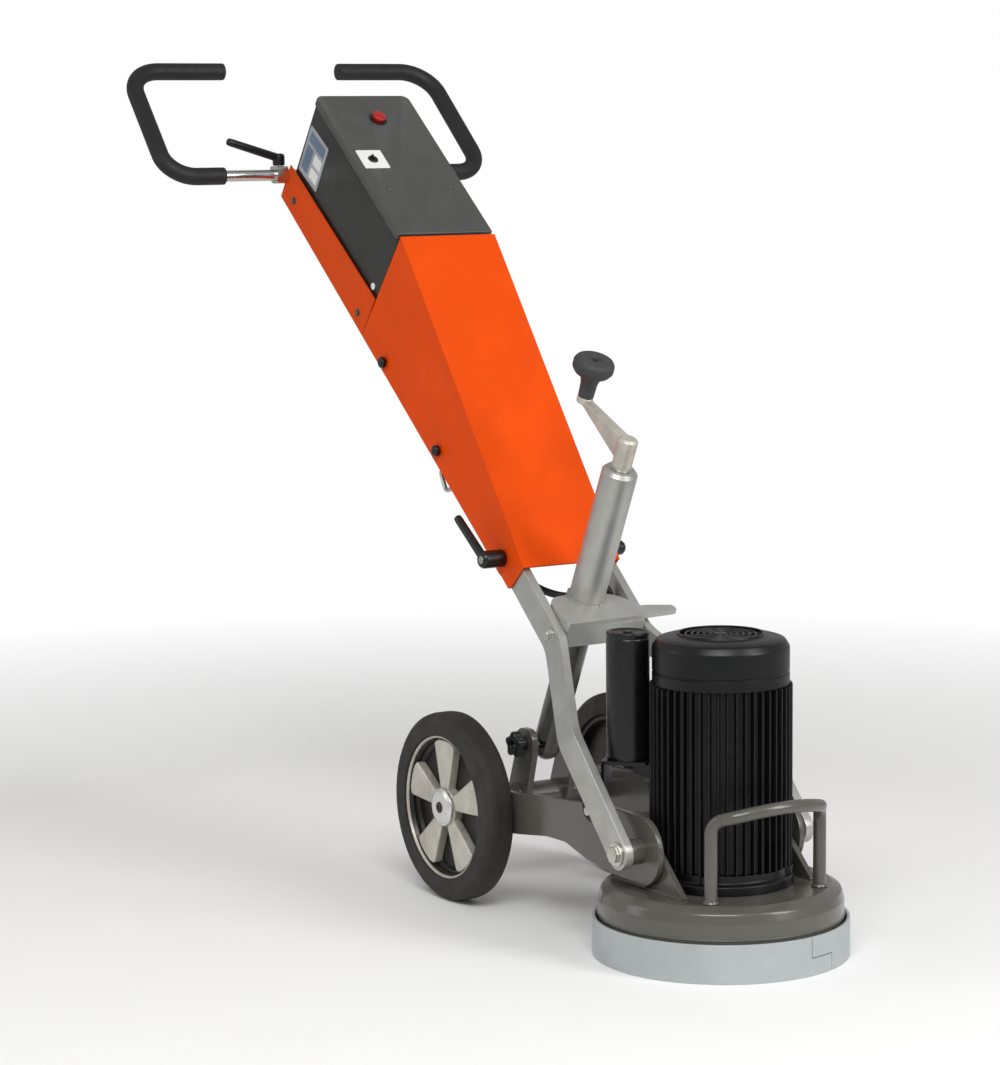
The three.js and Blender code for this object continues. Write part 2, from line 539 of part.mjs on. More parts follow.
function mast() {
  const half = MAST_W / 2;
  // structural channel: a web along the back and two sides
  const web = [shift(TRAY_LOW, BACK_END, 6, 4), shift(BACK_END, TRAY_LOW, 6, -4)];
  const depth = 36;
  const channelSide = rounded([web[0], web[1], [46, 440, 8], [50, 474, 8],
    shift(BACK_END, TRAY_LOW, 20, -4 - depth), shift(TRAY_LOW, BACK_END, 6, 4 + depth)]);
  const channelWidth = ARM_Y - 1;
  const webSlab = rounded([web[0], web[1], shift(BACK_END, TRAY_LOW, 6, -4 - SHEET), shift(TRAY_LOW, BACK_END, 6, 4 + SHEET)]);
  const channel = join(slabY(webSlab, -channelWidth, channelWidth),
    slabY(channelSide, -channelWidth, -channelWidth + SHEET), slabY(channelSide, channelWidth - SHEET, channelWidth));
  const through = ([x, z], r) => rod([x, -140, z], [x, 140, z], r);
  part('mast_channel', cut(channel, through(HINGE, 6 + GAP), through(BAR, TUBE_R + GAP),
    ...COVER_SCREWS.map((at) => through(at, 4 + GAP))), finish(0x3a3a3a, 0.5, 0.3));
  lowerCover(half, through);
  upperTray(half, through);
  controlBox();
  COVER_SCREWS.forEach((at, k) => {
    const heads = [-1, 1].map((s) => rod([at[0], s * (half + GAP), at[1]], [at[0], s * (half + 9), at[1]], 8, 14));
    part(`cover_screw_${k + 1}`, join(rod([at[0], -half - 2, at[1]], [at[0], half + 2, at[1]], 4, 10), ...heads), plastic());
  });
  const hook = bends([[-140, -55, 571], [-157, -55, 549, 8], [-143, -55, 525, 8], [-112, -55, 536]], 3);
  part('cable_hook', bent(hook, 3, 8), steel());
}

const COVER_SCREWS = [[-272, 694], [-128, 583]];

function lowerCover(half, through) {
  const outline = rounded([
    JOINT_LOW, shift(JOINT_LOW, BACK_END, 120, 0), BACK_END, [2, 452], [24, 433], [30, 430, 4], [49, 414, 5],
    FRONT_LOW, [SPLIT_TOP[0], SPLIT_TOP[1], 2],
  ]);
  const bottom = shift(FRONT_LOW, SPLIT_TOP, 0, SHEET);
  const top = shift(SPLIT_TOP, FRONT_LOW, 0, -SHEET);
  const front = slabY(rounded([FRONT_LOW, SPLIT_TOP, top, bottom]), -half, half);
  const walls = [-1, 1].map((s) => slabY(outline, ...across(s, half - 2, half)));
  const screwHoles = COVER_SCREWS.map((at) => through(at, 4 + GAP));
  part('lower_cover', cut(join(front, ...walls), through(HINGE, 6 + GAP), ...screwHoles), orange());
}

function upperTray(half, through) {
  const low = shift(JOINT_LOW, TRAY_LOW, 1, 0);
  const seam = unit(JOINT_LOW, JOINT_MID);
  const outline = rounded([TRAY_LOW, low, [low[0] + seam[0] * 64, low[1] + seam[1] * 64], TRAY_TOP]);
  const floor = rounded([TRAY_LOW, low, shift(low, TRAY_LOW, 0, -2), shift(TRAY_LOW, low, 0, 2)]);
  const walls = [-1, 1].map((s) => slabY(outline, ...across(s, half - 2, half)));
  part('upper_tray', cut(join(slabY(floor, -half, half), ...walls), through(BAR, TUBE_R + GAP)), orange());
}

// The control box stands on the tray and carries its lid square to the operator.
const LID_BACK = [-463.6, 1062];
const LID_FRONT = [-229.5, 871.5];
const LID_T = 11;
const BOX_BACK_TOP = shift(LID_BACK, LID_FRONT, 4, -LID_T - GAP);
const BOX_BACK_LOW = [-535.3, 951.5];
const BOX_FRONT_TOP = shift(LID_FRONT, LID_BACK, 2, LID_T + GAP);
const BOX_FRONT_LOW = [-310, 770];

function controlBox() {
  const outer = rounded([BOX_BACK_LOW, BOX_FRONT_LOW, BOX_FRONT_TOP, BOX_BACK_TOP]);
  const inset = ([x, z], [cx, cz]) => [x + 3.5 * Math.sign(cx - x), z + 3.5 * Math.sign(cz - z)];
  const core = [-380, 915];
  const hollow = rounded([inset(BOX_BACK_LOW, core), inset(BOX_FRONT_LOW, core),
    [BOX_FRONT_TOP[0] + 10, BOX_FRONT_TOP[1] + 12], [BOX_BACK_TOP[0] + 14, BOX_BACK_TOP[1] + 14]]);
  part('control_box', cut(slabY(outer, -70, 70), slabY(hollow, -67.5, 67.5)), finish(0x3d3e3c, 0.5, 0));
  const slope = unit(LID_BACK, LID_FRONT);
  const tilt = Math.atan2(-slope[1], slope[0]);
  const length = Math.hypot(LID_FRONT[0] - LID_BACK[0], LID_FRONT[1] - LID_BACK[1]);
  const onLid = (geometry) => geometry.rotateY(tilt).translate(LID_BACK[0], 0, LID_BACK[1]);
  const lid = slabZ(rounded([[0, -LID_HALF, 10], [length, -LID_HALF, 2], [length, LID_HALF, 2], [0, LID_HALF, 10]]),
    -LID_T, 0, [circle(...LID_BUTTON, 9, 18), circle(...LID_SWITCH, 5.6, 16)]);
  part('box_lid', onLid(lid), finish(0x454644, 0.45, 0));
  const button = turned([[0, -10], [8.4, -10], [8.4, 4], [10.5, 4], [10.5, 8], [0, 9]], [...LID_BUTTON, 0], [0, 0, 1], 18);
  part('stop_button', onLid(button), finish(0xc02015, 0.4, 0));
  const dial = turned([[0, -10], [5, -10], [5, 0.6], [7, 0.6], [7, 3], [0, 3]], [...LID_SWITCH, 0], [0, 0, 1], 16);
  part('rotary_switch', onLid(join(dial, box(-6, 6, -1.5, 1.5, 2, 6).translate(...LID_SWITCH, 0))), plastic());
  part('contactor', onLid(box(60, 130, -38, 38, -92, -48)), plastic());
}

const LID_BUTTON = [55, 3];
const LID_SWITCH = [144, -45];

// ---------------------------------------------------------------- fold hinge and clamps
// A ratchet lever standing on the origin: a hub, and an arm of nearly even thickness.
function lever(radius, height, length, lift) {
  const low = height - 6;
  const hub = turned([[0, 0], [radius - 1, 0], [radius, 3], [radius, height - 5], [radius - 2, height], [0, height]],
    [0, 0, 0], [0, 0, 1], 18);
  const arm = rod([3, 0, low], [length - 3, 0, low + lift], 6.3, 12, 5.8);
  const tip = rod([length - 3.2, 0, low + lift], [length, 0, low + lift + 0.4], 5.8, 12, 4);
  return join(hub, arm, tip);
}

const CLAMP_TOP = BAR[1] + 13;

function clamps() {
  const [x, z] = HINGE;
  const half = MAST_W / 2;
  const washer = rod([x, half + 1, z], [x, 95.5, z], 8, 20);
  const bolt = join(rod([x, -96, z], [x, 96, z], 6), washer);
  const nutProfile = [[0, 95.5], [9, 95.5], [10, 99], [10, 109], [7, 113.5], [0, 113.5]];
  const nut = turned(nutProfile, [x, 0, z], [0, 1, 0], 18);
  part('hinge_bolt', join(bolt, nut), plastic());
  const lower = lever(12, 34, 78, 6).rotateX(Math.PI / 2).rotateY(THREE.MathUtils.degToRad(180 + 41))
    .translate(x, -76 - GAP, z);
  part('fold_clamp_lever', cut(lower, rod([x, -97, z], [x, -70, z], 6 + GAP)), plastic());
  const block = rounded([[BAR[0] - 12, BAR[1] - 12, 10], [BAR[0] + 12, BAR[1] - 12, 10], [BAR[0] + 12, CLAMP_TOP, 4],
    [BAR[0] - 12, CLAMP_TOP, 4]]);
  const clamp = cut(slabY(block, -93, -half - GAP), rod([BAR[0], -120, BAR[1]], [BAR[0], 0, BAR[1]], TUBE_R + GAP),
    box(BAR[0] - 30, BAR[0] - 7, -100, -70, BAR[1] - 1, BAR[1] + 1));
  part('handle_clamp', clamp, steel());
  const upper = lever(9, 18, 84, 24).rotateZ(-Math.PI / 2 + 0.03).translate(BAR[0], -85, CLAMP_TOP + GAP);
  part('handle_clamp_lever', upper, plastic());
}

// ---------------------------------------------------------------- handlebar
// Points in the plane of the two loops: y across, rise up and back from the tilt axis.
const loop = (y, rise, bend) => [BAR[0] - rise * Math.SQRT1_2, y, BAR[1] + rise * Math.SQRT1_2, bend];

function handlebar() {
  const route = bends([
    loop(-GRIP_END_Y, HANDLE_RISE), loop(-HANDLE_HALF + 6, HANDLE_RISE, 50), loop(-HANDLE_HALF - 4, 0, 42),
    loop(HANDLE_HALF + 4, 0, 42), loop(HANDLE_HALF - 6, HANDLE_RISE, 50), loop(GRIP_END_Y, HANDLE_RISE),
  ]);
  part('handle_tube', bent(route, TUBE_R, 8), steel());
  sides.forEach(([word, s]) => {
    const cover = bends([
      loop(s * GRIP_END_Y, HANDLE_RISE), loop(s * (HANDLE_HALF - 6), HANDLE_RISE, 50),
      loop(s * (HANDLE_HALF + 4), 0, 42), loop(s * GRIP_LOW_Y, 0),
    ]);
    const bore = bends([
      loop(s * (GRIP_END_Y - 10), HANDLE_RISE), loop(s * (HANDLE_HALF - 6), HANDLE_RISE, 50),
      loop(s * (HANDLE_HALF + 4), 0, 42), loop(s * (GRIP_LOW_Y - 10), 0),
    ]);
    part(`grip_${word}`, cut(bent(cover, GRIP_R, 12), bent(bore, TUBE_R + 0.8, 8)), rubber());
  });
}

// ---------------------------------------------------------------- motor supply cable
const CABLE_R = 5;

function cables() {
  const route = new THREE.CatmullRomCurve3([
    [4, -26, 452], [8, -25, 430], [22, -18, 412], [44, -2, 402], [62, 14, 400], [77, 30, 405], [89, 45, 415],
    [94, 53, 403], [92, 52, 384], [97, 48, 362], [116, 43, 336], [150, 36, 314], [200, 24, 300], [250, 8, 298],
    [290, 0, 290 + CABLE_R + GAP],
  ].map((p) => new THREE.Vector3(...p)));
  part('motor_cable', bent(route.getPoints(26), CABLE_R, 7), rubber());
}

wheels();
chassis();
head();
motor();
arms();
jack();
mast();
clamps();
handlebar();
cables();

export default model;
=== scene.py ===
# Looks of a walk-behind floor grinder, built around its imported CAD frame.
import json
from math import acos, atan2, ceil, cos, pi, radians, sin, sqrt, tan

import bmesh
import bpy
from mathutils import Matrix, Vector
from mathutils.geometry import tessellate_polygon


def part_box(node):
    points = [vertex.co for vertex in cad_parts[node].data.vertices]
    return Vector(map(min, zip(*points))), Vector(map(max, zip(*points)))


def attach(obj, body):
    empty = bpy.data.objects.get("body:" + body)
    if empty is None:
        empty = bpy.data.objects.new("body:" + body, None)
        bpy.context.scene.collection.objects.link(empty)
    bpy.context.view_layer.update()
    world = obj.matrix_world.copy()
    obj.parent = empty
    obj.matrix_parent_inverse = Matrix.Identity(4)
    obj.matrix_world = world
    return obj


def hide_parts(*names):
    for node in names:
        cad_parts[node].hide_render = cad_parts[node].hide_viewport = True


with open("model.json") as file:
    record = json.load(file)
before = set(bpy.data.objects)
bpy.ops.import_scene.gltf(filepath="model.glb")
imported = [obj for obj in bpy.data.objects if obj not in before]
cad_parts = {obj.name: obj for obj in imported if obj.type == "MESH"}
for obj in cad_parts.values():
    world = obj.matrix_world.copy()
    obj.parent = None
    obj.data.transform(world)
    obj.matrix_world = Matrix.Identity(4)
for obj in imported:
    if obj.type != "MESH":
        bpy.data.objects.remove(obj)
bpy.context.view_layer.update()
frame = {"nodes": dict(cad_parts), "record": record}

MM = 0.001
UP = (0, 0, 1)
SIDES = (("right", -1), ("left", 1))


def middle_of(node):
    low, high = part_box(node)
    return (low + high) / 2


# Shapes are worked out in millimetres from the wheel axle, and placed where the CAD has it.
AXLE_X = middle_of("axle").x


def placed(point):
    x, y, z = point
    return Vector((AXLE_X + x * MM, y * MM, z * MM))


# ---------------------------------------------------------------- driving dimensions, millimetres
GAP = 0.3
WHEEL_R, WHEEL_W, WHEEL_Y = 125, 41, 133.5
RIM_R, AXLE_R = 95, 10
HEAD_X = 420
COVER_TOP = 90
SKIRT_R, SKIRT_H = 159.3, 48
MOTOR_R, FIN_COUNT, FIN_LOW, FIN_HIGH = 88, 48, 114, 338
FAN_COVER_R = 84.5
PIVOT = (402, 137)
ARM_Y, ARM_LOW_Y, ARM_T, ARM_W = 60, 130, 12, 40
RAIL_Y, RAIL_T = 102, 8
LUG_Y = 92
HINGE = (36, 455)
HALF, LID_HALF = 75, 76
JACK_FOOT = (11, 173)
JACK_DIR = (0.4214, 0.9069)
JACK_PIN, PLATE_S, JACK_TOP, CRANK_TOP, CRANK_REACH = 32, 252, 451, 496, 110
BAR = (-558.4, 948.7)
CLAMP_TOP = BAR[1] + 13
HANDLE_RISE, HANDLE_HALF = 213, 257
GRIP_R, TUBE_R, GRIP_END_Y, GRIP_LOW_Y = 13, 8, 97, 174
STOP_PIN = (294, 168)
TIE_BOLT = (143, 367)
COVER_SCREWS = ((-272, 694), (-128, 583))
LID_BACK, LID_FRONT = (-463.6, 1062), (-229.5, 871.5)
LID_BUTTON, LID_SWITCH = (55, 3), (144, -45)
TRAY_BOLTS = ((-532, 912), (-347, 759))
LATCH = (-311, 797)
LABEL = ((-483.5, 1020.5), (-434, 985.5), (-474.5, 924.5), (-525.5, 958.5))
CAPACITOR = (335, -80, 0)


# ---------------------------------------------------------------- outlines
def rounded(corners, step=0.14):
    """Corners are (a, b) or (a, b, radius); a corner with a radius becomes an arc."""
    points = []
    count = len(corners)
    for i, corner in enumerate(corners):
        at = Vector(corner[:2])
        radius = corner[2] if len(corner) > 2 else 0
        if not radius:
            points.append(at)
            continue
        u = (Vector(corners[i - 1][:2]) - at).normalized()
        v = (Vector(corners[(i + 1) % count][:2]) - at).normalized()
        half = acos(max(-1, min(1, u.dot(v)))) / 2
        reach = radius / tan(half)
        centre = at + (u + v).normalized() * (radius / sin(half))
        start, end = at + u * reach - centre, at + v * reach - centre
        first = atan2(start.y, start.x)
        turn = (atan2(end.y, end.x) - first + pi) % (2 * pi) - pi
        steps = max(3, ceil(abs(turn) / step))
        for k in range(steps + 1):
            angle = first + turn * k / steps
            points.append(centre + Vector((cos(angle), sin(angle))) * radius)
    return points


def circle(a, b, radius, sides=40, first=0.0, span=2 * pi):
    last = 0 if abs(span - 2 * pi) < 1e-6 else 1
    return [
        Vector((a + radius * cos(first + span * k / (sides - last)),
                b + radius * sin(first + span * k / (sides - last))))
        for k in range(sides)
    ]


def signed_area(points):
    return sum(p.x * q.y - q.x * p.y for p, q in zip(points, points[1:] + points[:1])) / 2


def wound(points, anticlockwise):
    points = [Vector(p[:2]) for p in points]
    return points if (signed_area(points) > 0) == anticlockwise else points[::-1]


def inset(points, distance):
    """Moves every corner to the left of its outline's direction."""
    moved = []
    count = len(points)
    for i in range(count):
        before = (points[i] - points[i - 1]).normalized()
        after = (points[(i + 1) % count] - points[i]).normalized()
        n1, n2 = Vector((-before.y, before.x)), Vector((-after.y, after.x))
        moved.append(points[i] + (n1 + n2) / max(0.3, 1 + n1.dot(n2)) * distance)
    return moved


# ---------------------------------------------------------------- solids, as (vertices, faces)
def plate(outline, low, high, holes=(), bevel=0.8, plane="y", steps=2):
    """An outline between two depths, with rounded rims. Plane y takes (x, z) corners, plane z (x, y)."""
    contours = [wound(outline, True)] + [wound(hole, False) for hole in holes]
    levels = []
    for k in range(steps + 1):
        angle = pi / 2 * k / steps
        levels.append((bevel * (1 - sin(angle)), low + bevel * (1 - cos(angle))))
    levels += [(offset, low + high - depth) for offset, depth in reversed(levels)]
    vertices, faces = [], []
    rims = []
    for contour in contours:
        count = len(contour)
        first = len(vertices)
        for offset, depth in levels:
            vertices += [(p.x, p.y, depth) for p in inset(contour, offset)]
        for level in range(len(levels) - 1):
            for i in range(count):
                a, b = first + level * count + i, first + level * count + (i + 1) % count
                faces.append((a, b, b + count, a + count))
        rims.append((first, first + (len(levels) - 1) * count, count))
    for end in (0, 1):
        index = [rim[end] + i for rim in rims for i in range(rim[2])]
        loops = [[Vector(vertices[rim[end] + i]) for i in range(rim[2])] for rim in rims]
        for triangle in tessellate_polygon(loops):
            faces.append(tuple(index[i] for i in triangle))
    if plane == "y":
        vertices = [(a, depth, b) for a, b, depth in vertices]
    return vertices, faces


def basis(axis):
    z = Vector(axis).normalized()
    x = z.orthogonal().normalized() if abs(z.y) < 0.9 else Vector((1, 0, 0))
    x = (x - z * x.dot(z)).normalized()
    return x, z.cross(x), z


def lathe(profile, origin, axis=UP, sides=64):
    """A closed profile of (radius, distance) turned about an axis."""
    x, y, z = basis(axis)
    origin = Vector(origin)
    vertices, rings = [], []
    for radius, distance in profile:
        centre = origin + z * distance
        if radius < 1e-6:
            rings.append((len(vertices), 1))
            vertices.append(tuple(centre))
            continue
        rings.append((len(vertices), sides))
        for k in range(sides):
            angle = 2 * pi * k / sides
            vertices.append(tuple(centre + x * (radius * cos(angle)) + y * (radius * sin(angle))))
    faces = []
    for (a, many_a), (b, many_b) in zip(rings, rings[1:] + rings[:1]):
        if many_a == 1 and many_b == 1:
            continue
        for k in range(sides):
            n = (k + 1) % sides
            if many_a == 1:
                faces.append((a, b + n, b + k))
            elif many_b == 1:
                faces.append((a + k, a + n, b))
            else:
                faces.append((a + k, a + n, b + n, b + k))
    return vertices, faces


def turned(corners, origin, axis=UP, sides=64):
    """As lathe, from corners that may have a radius; a corner on the axis stays sharp."""
    return lathe([(p.x, p.y) for p in rounded(corners, 0.4)], origin, axis, sides)


def crosswise(corners, x, z, side, sides):
    """Turned about a line along Y, with distances counted from the middle towards one side."""
    return turned(corners, (x, 0, z), (0, side, 0), sides)


def ring(inner, outer, low, high, soft=0.6):
    return [(inner, low, soft), (outer, low, soft), (outer, high, soft), (inner, high, soft)]


def tube(points, radius, sides=20, soft=0.0):
    """A round bar through points; soft rounds its two ends."""
    points = [Vector(p) for p in points]
    radii = [radius] * len(points)
    if soft:
        for end in (0, -1):
            inward = (points[-2 if end else 1] - points[end]).normalized()
            tip = points[end].copy()
            extra = []
            for k in range(5):
                angle = pi / 2 * k / 5
                extra.append((tip + inward * soft * (1 - sin(angle)),
                              radius - soft + soft * cos(pi / 2 - angle)))
            if end == 0:
                points = [p for p, _ in extra] + [tip + inward * soft] + points[1:]
                radii = [r for _, r in extra] + [radius] + radii[1:]
            else:
                points = points[:-1] + [tip + inward * soft] + [p for p, _ in reversed(extra)]
                radii = radii[:-1] + [radius] + [r for _, r in reversed(extra)]
    count = len(points)
    tangents = []
    for i in range(count):
        ahead, behind = points[min(i + 1, count - 1)], points[max(i - 1, 0)]
        tangents.append((ahead - behind).normalized())
    normal = tangents[0].orthogonal().normalized()
    vertices, faces = [], []
    for i in range(count):
        if i:
            turn = tangents[i - 1].rotation_difference(tangents[i])
            normal = (turn @ normal).normalized()
        normal = (normal - tangents[i] * normal.dot(tangents[i])).normalized()
        side = tangents[i].cross(normal)
        for k in range(sides):
            angle = 2 * pi * k / sides
            vertices.append(tuple(points[i] + (normal * cos(angle) + side * sin(angle)) * radii[i]))
        if i:
            a, b = (i - 1) * sides, i * sides
            faces += [(a + k, a + (k + 1) % sides, b + (k + 1) % sides, b + k) for k in range(sides)]
    faces += [tuple(range(sides)), tuple(range((count - 1) * sides, count * sides))]
    return vertices, faces


def bends(corners, step=0.12):
    """Straight runs joined by arcs: corners are (x, y, z) or (x, y, z, bend radius)."""
    at = [Vector(c[:3]) for c in corners]
    points = [at[0]]
    for i in range(1, len(at) - 1):
        radius = corners[i][3] if len(corners[i]) > 3 else 0
        if not radius:
            points.append(at[i])
            continue
        u, v = (at[i - 1] - at[i]).normalized(), (at[i + 1] - at[i]).normalized()
        half = u.angle(v) / 2
        reach = radius / tan(half)
        centre = at[i] + (u + v).normalized() * (radius / sin(half))
        start, end = at[i] + u * reach - centre, at[i] + v * reach - centre
        sweep = start.angle(end)
        steps = max(4, ceil(sweep / step))
        for k in range(steps + 1):
            t = sweep * k / steps
            points.append(centre + (start * sin(sweep - t) + end * sin(t)) / sin(sweep))
    points.append(at[-1])
    return points


def moved(shape, matrix):
    vertices, faces = shape
    return [tuple(matrix @ Vector(v)) for v in vertices], faces


def block(x0, x1, y0, y1, z0, z1, bevel=0.8):
    return plate([(x0, z0), (x1, z0), (x1, z1), (x0, z1)], y0, y1, bevel=bevel)


def hexagon(a, b, radius, first=0.2):
    return circle(a, b, radius, 6, first)


# ---------------------------------------------------------------- materials
def linear(hex_colour):
    parts = [int(hex_colour[i:i + 2], 16) / 255 for i in (0, 2, 4)]
    return [p / 12.92 if p <= 0.04045 else ((p + 0.055) / 1.055) ** 2.4 for p in parts]


class Shader:
    """A Principled material whose colour, roughness and bump come from object-space noise."""

    def __init__(self, name, colour, rough, metallic=0.0, **sockets):
        self.material = bpy.data.materials.new(name)
        self.material.use_nodes = True
        self.tree = self.material.node_tree
        self.shader = self.tree.nodes["Principled BSDF"]
        self.colour = linear(colour)
        self.shader.inputs["Metallic"].default_value = metallic
        for socket, value in sockets.items():
            self.shader.inputs[socket.replace("_", " ")].default_value = value
        self.rough = rough
        self.place = self.tree.nodes.new("ShaderNodeTexCoord").outputs["Object"]
        self.height = None

    def link(self, a, b):
        self.tree.links.new(a, b)

    def noise(self, scale, detail=4.0, rough=0.55, stretch=None):
        node = self.tree.nodes.new("ShaderNodeTexNoise")
        node.inputs["Scale"].default_value = scale
        node.inputs["Detail"].default_value = detail
        node.inputs["Roughness"].default_value = rough
        source = self.place
        if stretch:
            mapping = self.tree.nodes.new("ShaderNodeMapping")
            mapping.inputs["Scale"].default_value = stretch
            self.link(self.place, mapping.inputs["Vector"])
            source = mapping.outputs["Vector"]
        self.link(source, node.inputs["Vector"])
        return node.outputs["Fac"]

    def ranged(self, value, low, high, start=0.3, end=0.7):
        node = self.tree.nodes.new("ShaderNodeMapRange")
        node.inputs["From Min"].default_value = start
        node.inputs["From Max"].default_value = end
        node.inputs["To Min"].default_value = low
        node.inputs["To Max"].default_value = high
        self.link(value, node.inputs["Value"])
        return node.outputs["Result"]

    def mixed(self, factor, a, b):
        node = self.tree.nodes.new("ShaderNodeMix")
        node.data_type = "RGBA"
        self.link(factor, node.inputs["Factor"])
        for value, socket in ((a, node.inputs[6]), (b, node.inputs[7])):
            if isinstance(value, bpy.types.NodeSocket):
                self.link(value, socket)
            else:
                socket.default_value = (*value, 1)
        return node.outputs[2]

    def colours(self, scale=18, spread=0.1, dust=None, dust_amount=0.0, dust_scale=9):
        """Mottles the colour by a share of itself, and lays patches of dust over it."""
        base = [c * (1 - spread) for c in self.colour]
        high = [min(1, c * (1 + spread)) for c in self.colour]
        out = self.mixed(self.ranged(self.noise(scale), 0, 1), base, high)
        if dust:
            patches = self.ranged(self.noise(dust_scale, 6, 0.65), 0, dust_amount, 0.48, 0.72)
            out = self.mixed(patches, out, linear(dust))
        self.link(out, self.shader.inputs["Base Color"])
        return self

    def edge_wear_and_highlight(self, colour, amount=0.6, edge=0.53):
        """Mixes a colour into convex edges: rubbed paint, and where that colour is lighter than the paint, a
        painted highlight along the edges.
        """
        geometry = self.tree.nodes.new("ShaderNodeNewGeometry").outputs["Pointiness"]
        factor = self.ranged(geometry, 0, amount, edge, edge + 0.08)
        before = self.shader.inputs["Base Color"].links[0].from_socket
        self.link(self.mixed(factor, before, linear(colour)), self.shader.inputs["Base Color"])
        return self

    def gloss(self, scale=30, spread=0.08):
        out = self.ranged(self.noise(scale, 5), max(0.03, self.rough - spread), min(1, self.rough + spread))
        self.link(out, self.shader.inputs["Roughness"])
        return self

    def bump(self, scale, distance, detail=3.0, stretch=None, value=None):
        node = self.tree.nodes.new("ShaderNodeBump")
        node.inputs["Strength"].default_value = 1.0
        node.inputs["Distance"].default_value = distance * MM
        self.link(value or self.noise(scale, detail, stretch=stretch), node.inputs["Height"])
        if self.height:
            self.link(self.height, node.inputs["Normal"])
        self.height = node.outputs["Normal"]
        self.link(self.height, self.shader.inputs["Normal"])
        return self


def paint(name, colour, rough, peel=0.05, **sockets):
    """Powder coat or gloss paint with a fine orange-peel surface."""
    made = Shader(name, colour, rough, **sockets)
    return made.colours(14, 0.06).gloss(22, 0.05).bump(900, peel, 2).bump(25, peel * 2, 2)


def plain(name, colour, rough, shades, gloss, *bumps, metallic=0.0):
    """A material from its shade, gloss and bump noises, each given as the matching Shader call's values."""
    made = Shader(name, colour, rough, metallic).colours(*shades).gloss(*gloss)
    for bump in bumps:
        made.bump(*bump)
    return made.material


orange = paint("orange powder coat", "E84C00", 0.5, 0.05, Specular_IOR_Level=0.12)
orange = orange.edge_wear_and_highlight("B8420A", 0.3).material
# The lighter convex edges of the silver paint are a painted highlight.
silver = Shader("silver paint", "B2B2AD", 0.38, 0.6).colours(30, 0.1, "7D7A73", 0.3).gloss(28, 0.08)
silver = silver.bump(1400, 0.05, 2).bump(60, 0.08, 3).edge_wear_and_highlight("C9C9C4", 0.4).material
olive = paint("dark gloss paint", "53524B", 0.24, 0.05, Coat_Weight=0.25, Coat_Roughness=0.12)
olive = olive.edge_wear_and_highlight("55554E", 0.3).material
# The lighter edges of the black paint are a painted highlight along shoulders and sides.
motor_black = paint("motor black paint", "0B0C0E", 0.34, 0.08, Specular_IOR_Level=0.35)
motor_black = motor_black.edge_wear_and_highlight("2A2C30", 0.25).material
cast_black = Shader("cast black fins", "090A0C", 0.45, Specular_IOR_Level=0.35).colours(40,
                                                                                        0.2).gloss(60, 0.1)
cast_black = cast_black.bump(500, 0.12, 4).material
rubber = plain("tyre rubber", "242220", 0.68, (25, 0.16, "3E3A34", 0.35, 16), (40, 0.1), (700, 0.12, 4),
               (45, 0.25, 3))
cast_rim = plain("cast aluminium rim", "C9C4BA", 0.42, (35, 0.12, "7A756C", 0.35, 22), (50, 0.1),
                 (600, 0.12, 4), (90, 0.2, 3), metallic=0.5)
# The dark colour of the rim's recessed web, barrel and bead is painted shade for the shadow inside the cast
# rim.
rim_recess_painted_shade = plain("rim recess painted shade", "2E2B28", 0.32, (30, 0.2), (40, 0.1), (500, 0.2, 4), metallic=0.6)
zinc = plain("zinc plated steel", "C4C4BD", 0.27, (60, 0.12, "A8A283", 0.2, 50), (90, 0.09), (300, 0.05, 3),
             metallic=1.0)
chrome = plain("bright steel tube", "CFCDCA", 0.2, (40, 0.05), (60, 0.05), (80, 0.03, 2, (1, 9, 1)),
               metallic=1.0)
hub_white = plain("hub cap", "DAD9D4", 0.3, (40, 0.06), (60, 0.08), (400, 0.04, 3), metallic=0.75)
foam = plain("foam grip", "121214", 0.58, (60, 0.25), (80, 0.08), (1500, 0.12, 3), (150, 0.25, 3))
black_plastic = plain("black plastic", "0D0D0F", 0.3, (50, 0.2), (60, 0.08), (1200, 0.05, 2))
# The lid's lighter edges are a painted highlight along its rims.
grey_lid = Shader("dark grey textured lid", "464745", 0.4).colours(24, 0.1).gloss(36, 0.06)
grey_lid = grey_lid.bump(1800, 0.07, 2).edge_wear_and_highlight("6A6A66", 0.45).material
grey_box = plain("dark grey sheet box", "232422", 0.36, (24, 0.12), (36, 0.06), (1800, 0.05, 2))
mast_steel = paint("dark mast steel", "242423", 0.45, 0.06).material
skirt_grey = plain("grey skirt", "A9AFB0", 0.48, (22, 0.06, "96978F", 0.25, 12), (40, 0.07), (500, 0.06, 3))
red = plain("red button", "A81A10", 0.36, (60, 0.12), (80, 0.06), (600, 0.03, 2))
white_label = plain("white plate", "E6E6E2", 0.4, (40, 0.03), (60, 0.05), (500, 0.03, 2))
label_grey = plain("silver label", "AEB4BA", 0.35, (50, 0.05), (70, 0.06), (600, 0.02, 2), metallic=0.3)
label_blue = plain("blue label field", "66788E", 0.4, (50, 0.06), (70, 0.06), (600, 0.02, 2))
dark_steel = plain("machined steel", "77756F", 0.42, (30, 0.15, "5B574F", 0.4, 20), (40, 0.1),
                   (300, 0.12, 4), metallic=0.9)
diamond = plain("diamond segment", "5E5A52", 0.7, (200, 0.3), (90, 0.1), (900, 0.4, 3), metallic=0.4)
laminate = plain("laminations", "8D8A84", 0.45, (30, 0.1), (50, 0.08), (1, 0.25, 0, (1, 1, 1800)),
                 metallic=0.8)
cable_black = plain("cable jacket", "121214", 0.5, (60, 0.2), (70, 0.08), (700, 0.06, 3))
weld_bead = plain("weld bead", "A5A49E", 0.45, (120, 0.2), (120, 0.1), (450, 0.5, 2), metallic=0.7)
knob_grey = plain("matte knob plastic", "39393A", 0.6, (50, 0.15), (60, 0.06), (1100, 0.06, 2))
